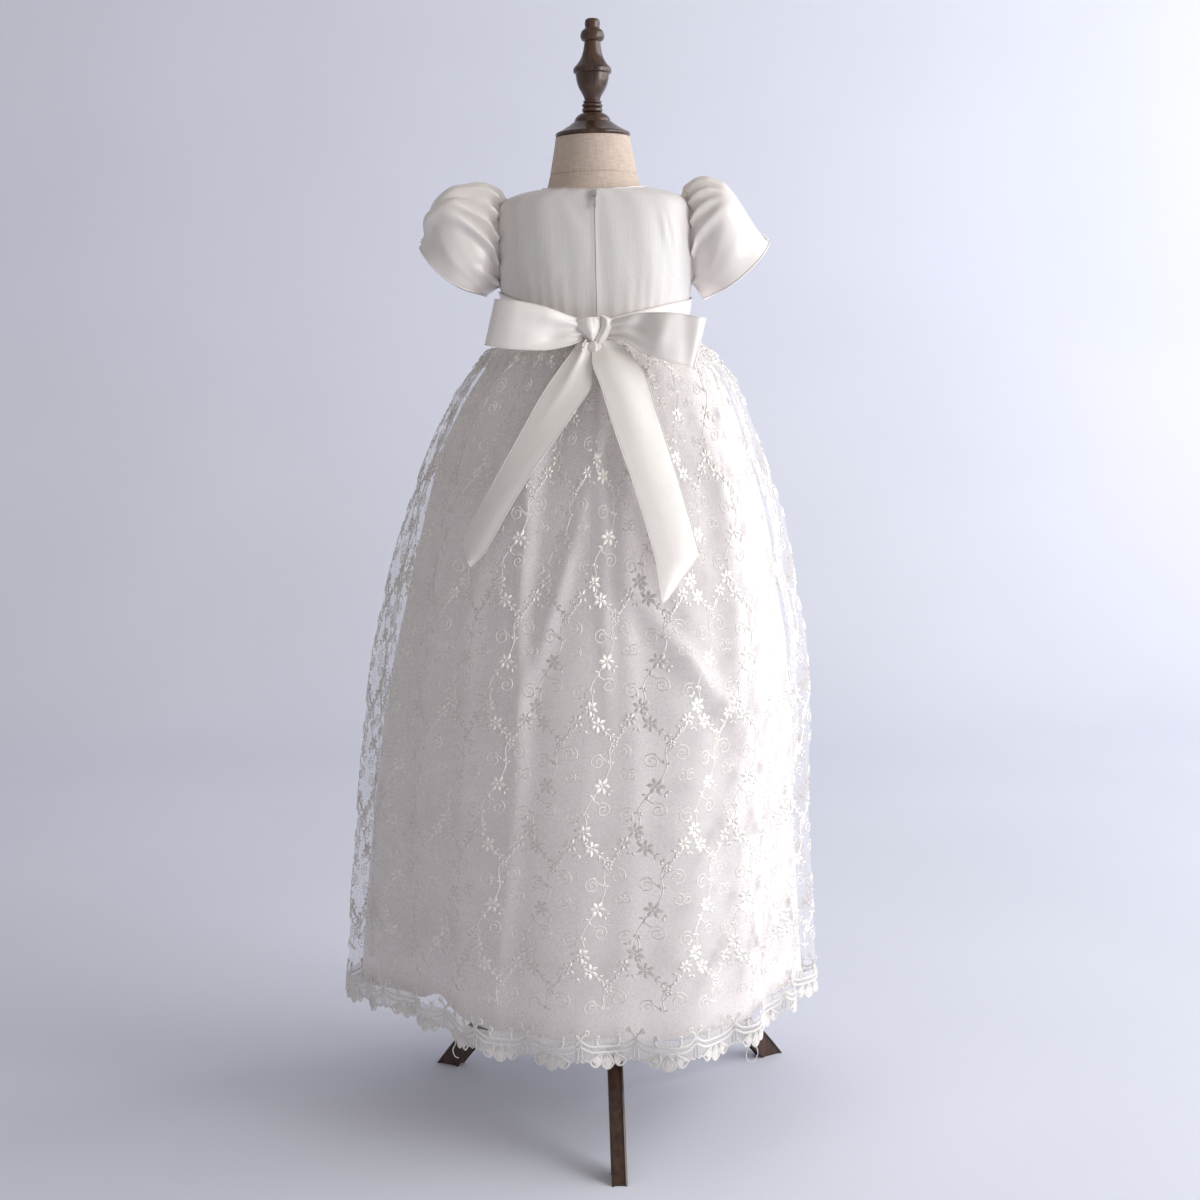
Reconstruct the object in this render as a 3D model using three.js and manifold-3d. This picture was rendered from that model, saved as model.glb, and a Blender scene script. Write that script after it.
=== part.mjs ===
// A christening gown with a lace hem, on the limbless dress form of a child.
// Millimetres, +Z up. The gown's back faces -Y, its chest faces +Y and its right side is at +X.
import * as THREE from 'three';
import { mergeVertices } from 'three/addons/utils/BufferGeometryUtils.js';
import Module from 'manifold-3d';

const wasm = await Module();
wasm.setup();

// Driving sizes
const SEAM_GAP = 0.3;
const BODICE_WALL = 1.2;
const SLEEVE_WALL = 1.2;
const SKIRT_WALL = 1.0;
const RIBBON_WALL = 1.2;
const FORM_CLEARANCE = 1.0;
const WAIST_Z = 712;
const SHOULDER_Z = 836.6;
const NECKLINE_Z = 845;
const LACE_TOP_Z = 118;
const HEM_Z = 94;
const NECK_TOP_Z = 890.5;
const NECK_TOP_RADIUS = 33.2;
const TOE_REACH = 197;
const FRAME_SHIFT = { x: 30.5, y: -2.7 };

// Angles round the body, in degrees: 0 is the right side, -90 the centre back, 90 the centre front.
const BACK = -90;
const RIGHT = 0;
const LEFT = -180;
const radians = THREE.MathUtils.degToRad;
const lerp = THREE.MathUtils.lerp;

// Bodice: half width and half depth at each height. dip is the share of the neckline's dip.
const BODICE_SECTIONS = [
  { z: 708, half: 79.3, deep: 55.6, dip: 0 },
  { z: 724, half: 80.2, deep: 57.0, dip: 0 },
  { z: 745, half: 83.6, deep: 59.0, dip: 0 },
  { z: 765, half: 86.6, deep: 60.2, dip: 0 },
  { z: 785, half: 88.0, deep: 60.0, dip: 0 },
  { z: 805, half: 88.0, deep: 58.4, dip: 0.12 },
  { z: 820, half: 87.2, deep: 55.6, dip: 0.35 },
  { z: 830, half: 84.8, deep: 52.4, dip: 0.6 },
  { z: 836.5, half: 79.0, deep: 50.0, dip: 0.8 },
  { z: 840, half: 70.0, deep: 48.5, dip: 0.9 },
  { z: 843, half: 57.0, deep: 47.2, dip: 0.96 },
  { z: 845, half: 43.6, deep: 46.0, dip: 1 },
  { z: 846, half: 37.0, deep: 45.4, dip: 1 },
];
const BODICE_SQUARENESS = 2.5;
const BACK_NECK_DIP = 4;
const FRONT_NECK_DIP = 18;
const BODICE_ROWS = [WAIST_Z, 736, 761.4, 764, 772, 786, 799, 812, 826, 834, SHOULDER_Z, 841, NECKLINE_Z];

// Armhole: an upright oval in each side of the bodice.
const ARMHOLE = { z: 799, half: 37.5, angle: 21, clear: 0.8, turning: 1.1 };

// Skirt overlay: how far it reaches to each side at each height. skew turns the oval's ends back,
// fold is the height of its folds, and inset is how far inside it the lining hangs.
const SKIRT_SECTIONS = [
  { z: 716, left: 80.5, right: 80.5, near: 57, far: 57, skew: 0, fold: 0, inset: 1.6 },
  { z: 711, left: 82.5, right: 82.5, near: 59, far: 59, skew: 0, fold: 0, inset: 1.6 },
  { z: 703, left: 97.5, right: 97, near: 67, far: 67, skew: 0, fold: 1.5, inset: 8 },
  { z: 690, left: 108.5, right: 108, near: 75, far: 76, skew: 0, fold: 3, inset: 12 },
  { z: 676, left: 120, right: 119, near: 82, far: 85, skew: -1, fold: 3.5, inset: 15 },
  { z: 649, left: 136.5, right: 129.5, near: 93, far: 99, skew: -2, fold: 4, inset: 18 },
  { z: 595, left: 161.5, right: 147.5, near: 110, far: 122, skew: -3, fold: 4.5, inset: 21 },
  { z: 540, left: 182, right: 164, near: 123, far: 140, skew: -4, fold: 5, inset: 26 },
  { z: 485, left: 198.5, right: 172.5, near: 134, far: 154, skew: -4, fold: 5, inset: 27 },
  { z: 429, left: 212.5, right: 182, near: 143, far: 166, skew: -5, fold: 5, inset: 26 },
  { z: 358, left: 223.5, right: 184, near: 151, far: 176, skew: -5, fold: 5.5, inset: 22 },
  { z: 288, left: 232, right: 181, near: 157, far: 183, skew: -6, fold: 6, inset: 19 },
  { z: 187, left: 242.5, right: 184, near: 163, far: 189, skew: -6, fold: 6.5, inset: 17 },
  { z: 90, left: 251, right: 187, near: 168, far: 194, skew: -6, fold: 7, inset: 15 },
];
// Swells, hollows and lifts of the skirt at its hem, which fade out towards the waist.
const DRAPES = [
  { angle: -180, out: 0, lift: 0 },
  { angle: -165, out: -10, lift: 4 },
  { angle: -150, out: -24, lift: 8 },
  { angle: -135, out: -26, lift: 8 },
  { angle: -120, out: -14, lift: 2 },
  { angle: -105, out: -6, lift: 0 },
  { angle: -90, out: -1, lift: 0 },
  { angle: -75, out: 6, lift: 0 },
  { angle: -60, out: 11, lift: 0 },
  { angle: -45, out: 1, lift: 2 },
  { angle: -30, out: -11, lift: 6 },
  { angle: -15, out: -9, lift: 9 },
  { angle: 0, out: 0, lift: 9 },
  { angle: 45, out: -6, lift: 4 },
  { angle: 90, out: 5, lift: 0 },
  { angle: 135, out: -7, lift: 0 },
  { angle: 180, out: 0, lift: 0 },
];
const SKIRT_SQUARENESS = { waist: 2.3, hem: 1.9 };
const OVERLAY_FOLDS = 16;
const LINING_FOLDS = 8;
const LINING_FOLD_SHARE = 0.45;
const OVERLAY_ROWS = [711.7, 703, 690, 664, 615, 550, 465, 365, 250, LACE_TOP_Z + SEAM_GAP];
const LINING_ROWS = [711.7, 703, 686, 645, 565, 440, 285, 128];
const OVERLAY_STEPS = 64;
const LINING_STEPS = 44;
const LINING_HEM = { lift: 10, waves: 3, turn: 40 };

// Sleeves: top and underarm points of each ring, measured out from the centre line, and its half depth.
const SLEEVE_RINGS = {
  left: [
    { topX: 97, topZ: 843.5, lowX: 88.5, lowZ: 760.4, deep: 27 },
    { topX: 108, topZ: 848.5, lowX: 90.0, lowZ: 759.0, deep: 33 },
    { topX: 122, topZ: 849.3, lowX: 92.0, lowZ: 757.6, deep: 37 },
    { topX: 137, topZ: 842.5, lowX: 93.8, lowZ: 756.4, deep: 39 },
    { topX: 147, topZ: 829.0, lowX: 95.6, lowZ: 755.4, deep: 38.5 },
    { topX: 149, topZ: 814.0, lowX: 97.2, lowZ: 754.6, deep: 36 },
    { topX: 156.5, topZ: 799.0, lowX: 99.0, lowZ: 754.0, deep: 34 },
  ],
  right: [
    { topX: 94, topZ: 845.5, lowX: 88.3, lowZ: 759.6, deep: 27 },
    { topX: 103, topZ: 850.0, lowX: 89.4, lowZ: 757.4, deep: 33 },
    { topX: 113, topZ: 848.5, lowX: 90.6, lowZ: 755.2, deep: 37 },
    { topX: 123, topZ: 840.5, lowX: 92.0, lowZ: 753.0, deep: 39 },
    { topX: 134, topZ: 825.0, lowX: 93.6, lowZ: 750.6, deep: 38.5 },
    { topX: 145, topZ: 808.0, lowX: 95.0, lowZ: 748.4, deep: 36 },
    { topX: 156.5, topZ: 795.5, lowX: 96.6, lowZ: 746.6, deep: 34 },
  ],
};
const SLEEVE_BELLY = { left: 10, right: 7 };
const SLEEVE_STEPS = 24;
const SLEEVE_MIDDLE_X = 110;

// Sash: lower and upper edge of the ribbon belt at each angle from the knot, round the left side.
const SASH_EDGES = [
  { angle: -97, low: 714.5, high: 728 },
  { angle: -125, low: 714, high: 741 },
  { angle: -160, low: 713.5, high: 754 },
  { angle: -180, low: 713.2, high: 757 },
  { angle: -225, low: 713.2, high: 755 },
  { angle: -270, low: 713.2, high: 754 },
  { angle: -315, low: 713.2, high: 752 },
  { angle: -360, low: 713.2, high: 748 },
  { angle: -400, low: 713.5, high: 742 },
  { angle: -443, low: 714.5, high: 729 },
];
const SASH_STEPS = 48;
const SASH_LIFT = 0.8;

// Bow: the knot, and each loop's near and far layer and its edges at each distance from the knot.
const KNOT = { x: -2.5, y: -68.9, z: 719.5, half: 19, deep: 10.5, tall: 12, clear: 0.4, around: 16, rows: 10 };
const LOOPS = {
  left: [
    { x: -12, near: -73, far: -68, low: 711.0, high: 727.0 },
    { x: -24, near: -80, far: -69, low: 706.5, high: 731.5 },
    { x: -46, near: -87, far: -70.5, low: 703.0, high: 739.5 },
    { x: -70, near: -88, far: -72, low: 704.5, high: 744.5 },
    { x: -88, near: -83, far: -74, low: 707.5, high: 746.5 },
    { x: -92.5, near: -78.6, far: -78, low: 708.5, high: 747.0 },
  ],
  right: [
    { x: 7, near: -73, far: -68, low: 712.5, high: 725.5 },
    { x: 20, near: -81, far: -70, low: 711.5, high: 729.0 },
    { x: 40, near: -90, far: -75, low: 699.0, high: 732.5 },
    { x: 62, near: -95, far: -80, low: 692.0, high: 732.0 },
    { x: 86, near: -93, far: -84, low: 686.5, high: 728.0 },
    { x: 93.5, near: -88.6, far: -88, low: 684.5, high: 726.5 },
  ],
};
const LOOP_ROWS = 3;
const LOOP_LEAN = { slope: 0.24, middleZ: 726, reach: 90 };
const TAILS = {
  left: [
    { leftX: -16.0, leftZ: 709, rightX: -5.4, rightZ: 709 },
    { leftX: -23.5, leftZ: 699, rightX: -5.4, rightZ: 699 },
    { leftX: -45.5, leftZ: 669, rightX: -5.4, rightZ: 676 },
    { leftX: -70.0, leftZ: 628, rightX: -25, rightZ: 644 },
    { leftX: -98.0, leftZ: 580, rightX: -62, rightZ: 594 },
    { leftX: -121.0, leftZ: 541, rightX: -101, rightZ: 531 },
    { leftX: -117.5, leftZ: 529, rightX: -113, rightZ: 519 },
  ],
  right: [
    { leftX: -4.4, leftZ: 709, rightX: 13, rightZ: 711 },
    { leftX: -4.4, leftZ: 692, rightX: 29, rightZ: 697 },
    { leftX: 2.0, leftZ: 672, rightX: 40, rightZ: 681 },
    { leftX: 12.0, leftZ: 637, rightX: 51, rightZ: 643 },
    { leftX: 29.0, leftZ: 585, rightX: 69, rightZ: 581 },
    { leftX: 45.0, leftZ: 527, rightX: 83, rightZ: 528 },
    { leftX: 50.0, leftZ: 489, rightX: 56, rightZ: 494.5 },
  ],
};
const TAIL_STEPS = 4;
const TAIL_LIFT = 2.5;
const TAIL_TOP_DEPTH = 74;

// Zip: the chain in the centre back seam, and its slider and pull tab at the neckline.
const CHAIN = { half: 1.1, recess: 0.3, topZ: 843.6 };
const SLIDER = { z: 839.5, stand: 0.35, length: 8, width: 4.6, nose: 3, plate: 1.4 };
const BRIDGE = { half: 3, width: 1.2, post: 0.9, rise: 2.7, top: 0.8 };
const PULL = {
  length: 14, eyeWidth: 3.5, eyeInside: 1.9, eyeLength: 4.9, bar: 0.9, tabWidth: 3.0, shoulder: 1.5, corner: 1,
};

// Rhinestone ornaments at the sleeve hems
const ORNAMENT = {
  radius: 4.6, height: 2.6, rim: 0.8, table: 0.6, clear: 0.4, turn: 90, fromHem: 0.35, steps: 12,
};

// Dress form: its sections under the waist and up the neck, from the seat to the cap.
const FORM_LOWER = [
  { z: 588, half: 66, deep: 50 },
  { z: 594, half: 74, deep: 56 },
  { z: 612, half: 80, deep: 60 },
  { z: 640, half: 82, deep: 61 },
  { z: 672, half: 80, deep: 58 },
  { z: 695, half: 77.5, deep: 54.5 },
];
const FORM_NECK = [
  { z: 849.5, radius: 41.0 },
  { z: 856, radius: 39.2 },
  { z: 868, radius: 37.0 },
  { z: 880, radius: 34.8 },
  { z: NECK_TOP_Z, radius: NECK_TOP_RADIUS },
];
const FORM_SEAT = { z: 586, share: 0.9 };
const FORM_STEPS = 40;

// Turned wood: radius and height of each profile, from the bottom up.
const CAP_PROFILE = [
  { r: 32.2, z: 890.8 },
  { r: 33.0, z: 892.6 },
  { r: 31.0, z: 894.8 },
  { r: 25.0, z: 898.7 },
  { r: 18.2, z: 902.4 },
  { r: 15.2, z: 904.4 },
  { r: 13.2, z: 908.6 },
  { r: 9.2, z: 911.8 },
];
const FINIAL_PROFILE = [
  { r: 7.8, z: 912.1 },
  { r: 8.8, z: 915.8 },
  { r: 7.6, z: 918.0 },
  { r: 8.8, z: 920.2 },
  { r: 6.7, z: 923.8 },
  { r: 9.3, z: 928.0 },
  { r: 12.5, z: 933.5 },
  { r: 14.4, z: 941.2 },
  { r: 15.0, z: 945.6 },
  { r: 16.7, z: 947.4 },
  { r: 16.7, z: 950.6 },
  { r: 13.4, z: 953.6 },
  { r: 9.9, z: 959.6 },
  { r: 7.7, z: 967.6 },
  { r: 7.2, z: 973.6 },
  { r: 10.2, z: 977.0 },
  { r: 10.2, z: 981.6 },
  { r: 6.6, z: 985.0 },
  { r: 6.3, z: 990.6 },
  { r: 4.6, z: 993.4 },
];
const POLE_PROFILE = [
  { r: 11, z: 170.3 },
  { r: 11, z: 566 },
  { r: 24, z: 572 },
  { r: 24, z: 585.7 },
];
const HUB_PROFILE = [
  { r: 10, z: 92 },
  { r: 15, z: 98 },
  { r: 12, z: 106 },
  { r: 18.4, z: 114 },
  { r: 18.4, z: 150 },
  { r: 14, z: 158 },
  { r: 16, z: 164 },
  { r: 14, z: 170 },
];
const TURNED_STEPS = 20;
const FINIAL_LEAN = 1.2;

// Legs: an arched bar between two arcs about one centre, cut level at the floor.
const LEG = { root: 18.8, width: 13.5, depth: 20, arc: 467, toeSlope: 53.3, steps: 7, turn: 1.2 };
const LEG_ANGLES = { leg_front: -90, leg_rear_right: 30, leg_rear_left: 150 };

const finishes = {
  bodice: { color: 0xf2efec, roughness: 0.55, metalness: 0 },
  satin: { color: 0xf4f1ec, roughness: 0.35, metalness: 0 },
  ribbon: { color: 0xefeae0, roughness: 0.32, metalness: 0 },
  tulle: { color: 0xf6f5f5, roughness: 0.7, metalness: 0 },
  lace: { color: 0xf8f7f5, roughness: 0.6, metalness: 0 },
  linen: { color: 0xb4a394, roughness: 0.85, metalness: 0 },
  wood: { color: 0x35221a, roughness: 0.35, metalness: 0 },
  zip: { color: 0xf0eeea, roughness: 0.5, metalness: 0 },
  metal: { color: 0xb9b9bd, roughness: 0.28, metalness: 1 },
  crystal: { color: 0xd8dce4, roughness: 0.12, metalness: 0.4 },
};

const group = new THREE.Group();
group.position.set(FRAME_SHIFT.x, FRAME_SHIFT.y, 0);

function addNode(name, geometry, finish, parent = group) {
  const mesh = new THREE.Mesh(geometry, new THREE.MeshStandardMaterial(finishes[finish]));
  mesh.name = name;
  parent.add(mesh);
  return mesh;
}

// A smooth value of one column at height or angle `at`, with no overshoot between rows.
function columnAt(rows, key, name, at) {
  const sorted = rows[0][key] < rows[rows.length - 1][key] ? rows : [...rows].reverse();
  const last = sorted.length - 1;
  const slope = (i) => (sorted[i + 1][name] - sorted[i][name]) / (sorted[i + 1][key] - sorted[i][key]);
  const tangent = (i) => {
    if (i === 0) return slope(0);
    if (i === last) return slope(last - 1);
    const before = slope(i - 1);
    const after = slope(i);
    return before * after <= 0 ? 0 : (2 * before * after) / (before + after);
  };
  let i = 0;
  while (i < last - 1 && at > sorted[i + 1][key]) i += 1;
  const step = sorted[i + 1][key] - sorted[i][key];
  const t = THREE.MathUtils.clamp((at - sorted[i][key]) / step, 0, 1);
  const [t2, t3] = [t * t, t * t * t];
  return (2 * t3 - 3 * t2 + 1) * sorted[i][name] + (t3 - 2 * t2 + t) * step * tangent(i)
    + (3 * t2 - 2 * t3) * sorted[i + 1][name] + (t3 - t2) * step * tangent(i + 1);
}

// Unit oval: squareness 2 is an ellipse, more is boxier, and skew turns its two ends back.
function oval(angle, squareness, skew = 0) {
  const across = Math.cos(radians(angle));
  const deep = Math.sin(radians(angle));
  const reach = (Math.abs(across) ** squareness + Math.abs(deep) ** squareness) ** (-1 / squareness);
  return { x: across * reach, y: Math.sin(radians(angle + skew)) * reach };
}

function bodiceSurface(angle, z) {
  const ring = oval(angle, BODICE_SQUARENESS);
  const dip = ring.y < 0 ? BACK_NECK_DIP : FRONT_NECK_DIP;
  const share = columnAt(BODICE_SECTIONS, 'z', 'dip', z);
  return new THREE.Vector3(
    ring.x * columnAt(BODICE_SECTIONS, 'z', 'half', z),
    ring.y * columnAt(BODICE_SECTIONS, 'z', 'deep', z),
    z - dip * share * Math.abs(Math.sin(radians(angle))) ** 3,
  );
}

// Folds of the skirt: uneven waves that a steady step round the ring still follows.
function foldWave(angle, count) {
  const turn = radians(angle);
  return Math.cos(count * turn + 0.7 * Math.sin(3 * turn + 0.6)) * (0.8 + 0.2 * Math.cos(5 * turn));
}

function hemShareAt(z) {
  return THREE.MathUtils.clamp((WAIST_Z - z) / (WAIST_Z - HEM_Z), 0, 1);
}

// The skirt's ring at one height: `share` of the lining's inset, and how far its folds stand out.
function skirtRing(angle, z, share, out) {
  const at = (name) => columnAt(SKIRT_SECTIONS, 'z', name, z);
  const turn = THREE.MathUtils.euclideanModulo(angle + 180, 360) - 180;
  const drape = hemShareAt(z) * columnAt(DRAPES, 'angle', 'out', turn);
  const lift = hemShareAt(z) ** 3 * columnAt(DRAPES, 'angle', 'lift', turn);
  const squareness = lerp(SKIRT_SQUARENESS.waist, SKIRT_SQUARENESS.hem, hemShareAt(z));
  const ring = oval(angle, squareness, at('skew'));
  const reach = out + drape - share * at('inset');
  return new THREE.Vector3(
    (at('right') - at('left')) / 2 + ring.x * (at('left') + at('right')) / 2 + reach * Math.cos(radians(angle)),
    (at('far') - at('near')) / 2 + ring.y * (at('near') + at('far')) / 2 + reach * Math.sin(radians(angle)),
    z + lift,
  );
}

function overlaySurface(angle, z) {
  const fold = columnAt(SKIRT_SECTIONS, 'z', 'fold', z);
  return skirtRing(angle, z, 0, fold * foldWave(angle, OVERLAY_FOLDS));
}

function liningSurface(angle, z) {
  const fold = LINING_FOLD_SHARE * columnAt(SKIRT_SECTIONS, 'z', 'fold', z);
  const point = skirtRing(angle, z, 1, fold * foldWave(angle, LINING_FOLDS));
  point.z += LINING_HEM.lift * hemShareAt(z) ** 3 * foldWave(angle + LINING_HEM.turn, LINING_HEM.waves);
  return point;
}

// Outward direction of a surface at one place, from its neighbours a small step away.
const NEAR_BY = 0.2;
const AXIS_DROP = 20;
const bodyAxis = (place) => new THREE.Vector3(0, 0, place.z - AXIS_DROP);

function outward(surface, u, v, inside) {
  const along = surface(u + NEAR_BY, v).sub(surface(u - NEAR_BY, v));
  const up = surface(u, v + NEAR_BY).sub(surface(u, v - NEAR_BY));
  const normal = along.cross(up).normalize();
  const place = surface(u, v);
  return normal.dot(place.sub(inside(place))) < 0 ? normal.negate() : normal;
}

function movedOut(surface, distance, inside = bodyAxis) {
  return (u, v) => surface(u, v).addScaledVector(outward(surface, u, v, inside), distance);
}

function volumeOf(vertices, faces) {
  let total = 0;
  for (const [a, b, c] of faces) {
    total += vertices[a].dot(vertices[b].clone().cross(vertices[c]));
  }
  return total / 6;
}

function bodyFrom(vertices, faces) {
  const flip = volumeOf(vertices, faces) < 0;
  const geometry = new THREE.BufferGeometry();
  const positions = vertices.flatMap((vertex) => vertex.toArray());
  geometry.setAttribute('position', new THREE.Float32BufferAttribute(positions, 3));
  geometry.setIndex(faces.flatMap(([a, b, c]) => (flip ? [a, c, b] : [a, b, c])));
  return geometry;
}

// A closed wall between two grids of points of the same layout. `loop` joins each row's two ends.
function wallBody(outer, inner, loop = false) {
  const rows = outer.length;
  const columns = outer[0].length;
  const vertices = [...outer.flat(), ...inner.flat()];
  const at = (side, row, column) => side * rows * columns + row * columns + (column % columns);
  const faces = [];
  const quad = (a, b, c, d) => faces.push([a, b, c], [a, c, d]);
  const spans = loop ? columns : columns - 1;
  for (let row = 0; row < rows - 1; row += 1) {
    for (let column = 0; column < spans; column += 1) {
      const next = column + 1;
      quad(at(0, row, column), at(0, row, next), at(0, row + 1, next), at(0, row + 1, column));
      quad(at(1, row + 1, column), at(1, row + 1, next), at(1, row, next), at(1, row, column));
    }
  }
  for (let column = 0; column < spans; column += 1) {
    const next = column + 1;
    quad(at(1, 0, column), at(1, 0, next), at(0, 0, next), at(0, 0, column));
    quad(at(0, rows - 1, column), at(0, rows - 1, next), at(1, rows - 1, next), at(1, rows - 1, column));
  }
  if (!loop) {
    const end = columns - 1;
    for (let row = 0; row < rows - 1; row += 1) {
      quad(at(0, row, 0), at(0, row + 1, 0), at(1, row + 1, 0), at(1, row, 0));
      quad(at(0, row + 1, end), at(0, row, end), at(1, row, end), at(1, row + 1, end));
    }
  }
  return bodyFrom(vertices, faces);
}

// A panel of cloth on a surface: its two side edges are given at each row, half a seam inside them.
function panelBody(surface, rows, sideAt, steps, wall, inside = bodyAxis) {
  const outer = [];
  const inner = [];
  for (const z of rows) {
    const [from, to] = sideAt(z);
    const insetAt = (angle) => {
      const place = surface(angle, z);
      return THREE.MathUtils.radToDeg(SEAM_GAP / 2 / Math.hypot(place.x, place.y));
    };
    const start = from + insetAt(from) * Math.sign(to - from);
    const end = to - insetAt(to) * Math.sign(to - from);
    const angles = Array.from({ length: steps + 1 }, (_, i) => lerp(start, end, i / steps));
    outer.push(angles.map((angle) => surface(angle, z)));
    inner.push(angles.map((angle) => movedOut(surface, -wall, inside)(angle, z)));
  }
  return wallBody(outer, inner);
}

// Bodice
function armholeAngle(z) {
  const rise = (z - ARMHOLE.z) / ARMHOLE.half;
  return Math.abs(rise) < 1 ? ARMHOLE.angle * Math.sqrt(1 - rise * rise) : 0;
}

function chainAngle(z) {
  return THREE.MathUtils.radToDeg((CHAIN.half + SEAM_GAP / 2) / Math.abs(bodiceSurface(BACK, z).y));
}

function addBodice() {
  const sides = {
    bodice_front: (z) => [RIGHT + armholeAngle(z), 180 - armholeAngle(z)],
    bodice_back_right: (z) => [BACK + chainAngle(z), RIGHT - armholeAngle(z)],
    bodice_back_left: (z) => [BACK - chainAngle(z), LEFT + armholeAngle(z)],
  };
  for (const [name, sideAt] of Object.entries(sides)) {
    const steps = name === 'bodice_front' ? 20 : 10;
    addNode(name, panelBody(bodiceSurface, BODICE_ROWS, sideAt, steps, BODICE_WALL), 'bodice');
  }
}

// Skirt: overlay, lining and the corded lace edging, each in a front and two backs
function addSkirt() {
  const spans = { front: [0, 180], back_right: [BACK, 0], back_left: [BACK, LEFT] };
  for (const [place, span] of Object.entries(spans)) {
    const share = Math.abs(span[1] - span[0]) / 360;
    const sideAt = () => span;
    const overlaySteps = OVERLAY_STEPS * share;
    addNode(`skirt_lining_${place}`,
      panelBody(liningSurface, LINING_ROWS, sideAt, LINING_STEPS * share, SKIRT_WALL), 'satin');
    addNode(`skirt_overlay_${place}`,
      panelBody(overlaySurface, OVERLAY_ROWS, sideAt, overlaySteps, SKIRT_WALL), 'tulle');
    addNode(`hem_lace_${place}`,
      panelBody(overlaySurface, [LACE_TOP_Z, HEM_Z], sideAt, overlaySteps, SKIRT_WALL), 'lace');
  }
}

// Sleeves: puffs from the armhole seam to a slanting hem, open at both ends
function sleeveSurface(side) {
  const sign = side === 'left' ? -1 : 1;
  const rings = SLEEVE_RINGS[side];
  const seamAt = (turn) => {
    const angle = ARMHOLE.angle * (1 + ARMHOLE.turning / ARMHOLE.half) * Math.cos(turn);
    const z = ARMHOLE.z + (ARMHOLE.half + ARMHOLE.turning) * Math.sin(turn);
    return movedOut(bodiceSurface, ARMHOLE.clear)(sign > 0 ? angle : 180 - angle, z);
  };
  const ringAt = (index, turn) => {
    const ring = rings[index];
    const top = new THREE.Vector3(sign * ring.topX, 0, ring.topZ);
    const low = new THREE.Vector3(sign * ring.lowX, 0, ring.lowZ);
    const place = low.clone().lerp(top, 0.5 + 0.5 * Math.sin(turn));
    const out = new THREE.Vector3(sign * (ring.topZ - ring.lowZ), 0, -(ring.topX - ring.lowX)).normalize();
    const belly = SLEEVE_BELLY[side] * (index + 1) / rings.length;
    place.y = ring.deep * Math.cos(turn);
    return place.addScaledVector(out, belly * Math.cos(turn) ** 2);
  };
  return (u, v) => {
    const turn = radians(u);
    const place = THREE.MathUtils.clamp(v, 0, rings.length);
    const index = Math.min(Math.floor(place), rings.length - 1);
    const from = index === 0 ? seamAt(turn) : ringAt(index - 1, turn);
    return from.lerp(ringAt(index, turn), place - index);
  };
}

function addSleeves() {
  for (const side of ['left', 'right']) {
    const surface = sleeveSurface(side);
    const rings = SLEEVE_RINGS[side];
    const middle = new THREE.Vector3((side === 'left' ? -1 : 1) * SLEEVE_MIDDLE_X, 0, ARMHOLE.z);
    const turns = Array.from({ length: SLEEVE_STEPS }, (_, i) => (360 * i) / SLEEVE_STEPS);
    const rows = Array.from({ length: rings.length + 1 }, (_, i) => i);
    const grid = (skin) => rows.map((row) => turns.map((turn) => skin(turn, row)));
    const inner = movedOut(surface, -SLEEVE_WALL, () => middle);
    addNode(`sleeve_${side}`, wallBody(grid(surface), grid(inner), true), 'satin');
    addOrnament(side, surface, middle);
  }
}

function addOrnament(side, surface, middle) {
  const { turn, fromHem } = ORNAMENT;
  const row = SLEEVE_RINGS[side].length - fromHem;
  const normal = outward(surface, turn, row, () => middle);
  const profile = [
    new THREE.Vector2(0, 0),
    new THREE.Vector2(ORNAMENT.radius, 0),
    new THREE.Vector2(ORNAMENT.radius, ORNAMENT.rim),
    new THREE.Vector2(ORNAMENT.radius * ORNAMENT.table, ORNAMENT.height),
    new THREE.Vector2(0, ORNAMENT.height),
  ];
  const mesh = addNode(`sleeve_ornament_${side}`, turned(profile, ORNAMENT.steps), 'crystal');
  mesh.quaternion.setFromUnitVectors(new THREE.Vector3(0, 0, 1), normal);
  mesh.position.copy(surface(turn, row)).addScaledVector(normal, ORNAMENT.clear);
}

// A turned body about Z, from a profile of (radius, height) points that starts and ends on the axis.
function turned(points, steps) {
  const lathe = new THREE.LatheGeometry(points, steps);
  lathe.deleteAttribute('normal');
  lathe.deleteAttribute('uv');
  lathe.rotateX(Math.PI / 2);
  return mergeVertices(lathe, 1e-4);
}

function addTurned(name, profile, finish) {
  const points = profile.map(({ r, z }) => new THREE.Vector2(r, z));
  points.unshift(new THREE.Vector2(0, profile[0].z));
  points.push(new THREE.Vector2(0, profile[profile.length - 1].z));
  return addNode(name, turned(points, TURNED_STEPS), finish);
}

// Cutting and joining of closed bodies
function toSolid(geometry) {
  const index = geometry.getIndex();
  return new wasm.Manifold(new wasm.Mesh({
    numProp: 3,
    vertProperties: new Float32Array(geometry.getAttribute('position').array),
    triVerts: new Uint32Array(index.array),
  }));
}

function toGeometry(solid) {
  const mesh = solid.getMesh();
  const geometry = new THREE.BufferGeometry();
  geometry.setAttribute('position', new THREE.BufferAttribute(mesh.vertProperties, 3));
  geometry.setIndex(new THREE.BufferAttribute(mesh.triVerts, 1));
  return geometry;
}

// Sash, bow and tails
function addSash() {
  const low = movedOut(bodiceSurface, SASH_LIFT);
  const high = movedOut(bodiceSurface, SASH_LIFT + RIBBON_WALL);
  const [first, last] = [SASH_EDGES[0].angle, SASH_EDGES[SASH_EDGES.length - 1].angle];
  const angles = Array.from({ length: SASH_STEPS + 1 }, (_, i) => lerp(first, last, i / SASH_STEPS));
  const grid = (skin) => [0, 1].map((t) => angles.map((angle) => {
    const [bottom, top] = ['low', 'high'].map((edge) => columnAt(SASH_EDGES, 'angle', edge, angle));
    return skin(angle, lerp(bottom, top, t));
  }));
  addNode('waist_sash', wallBody(grid(high), grid(low)), 'ribbon');
}

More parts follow.
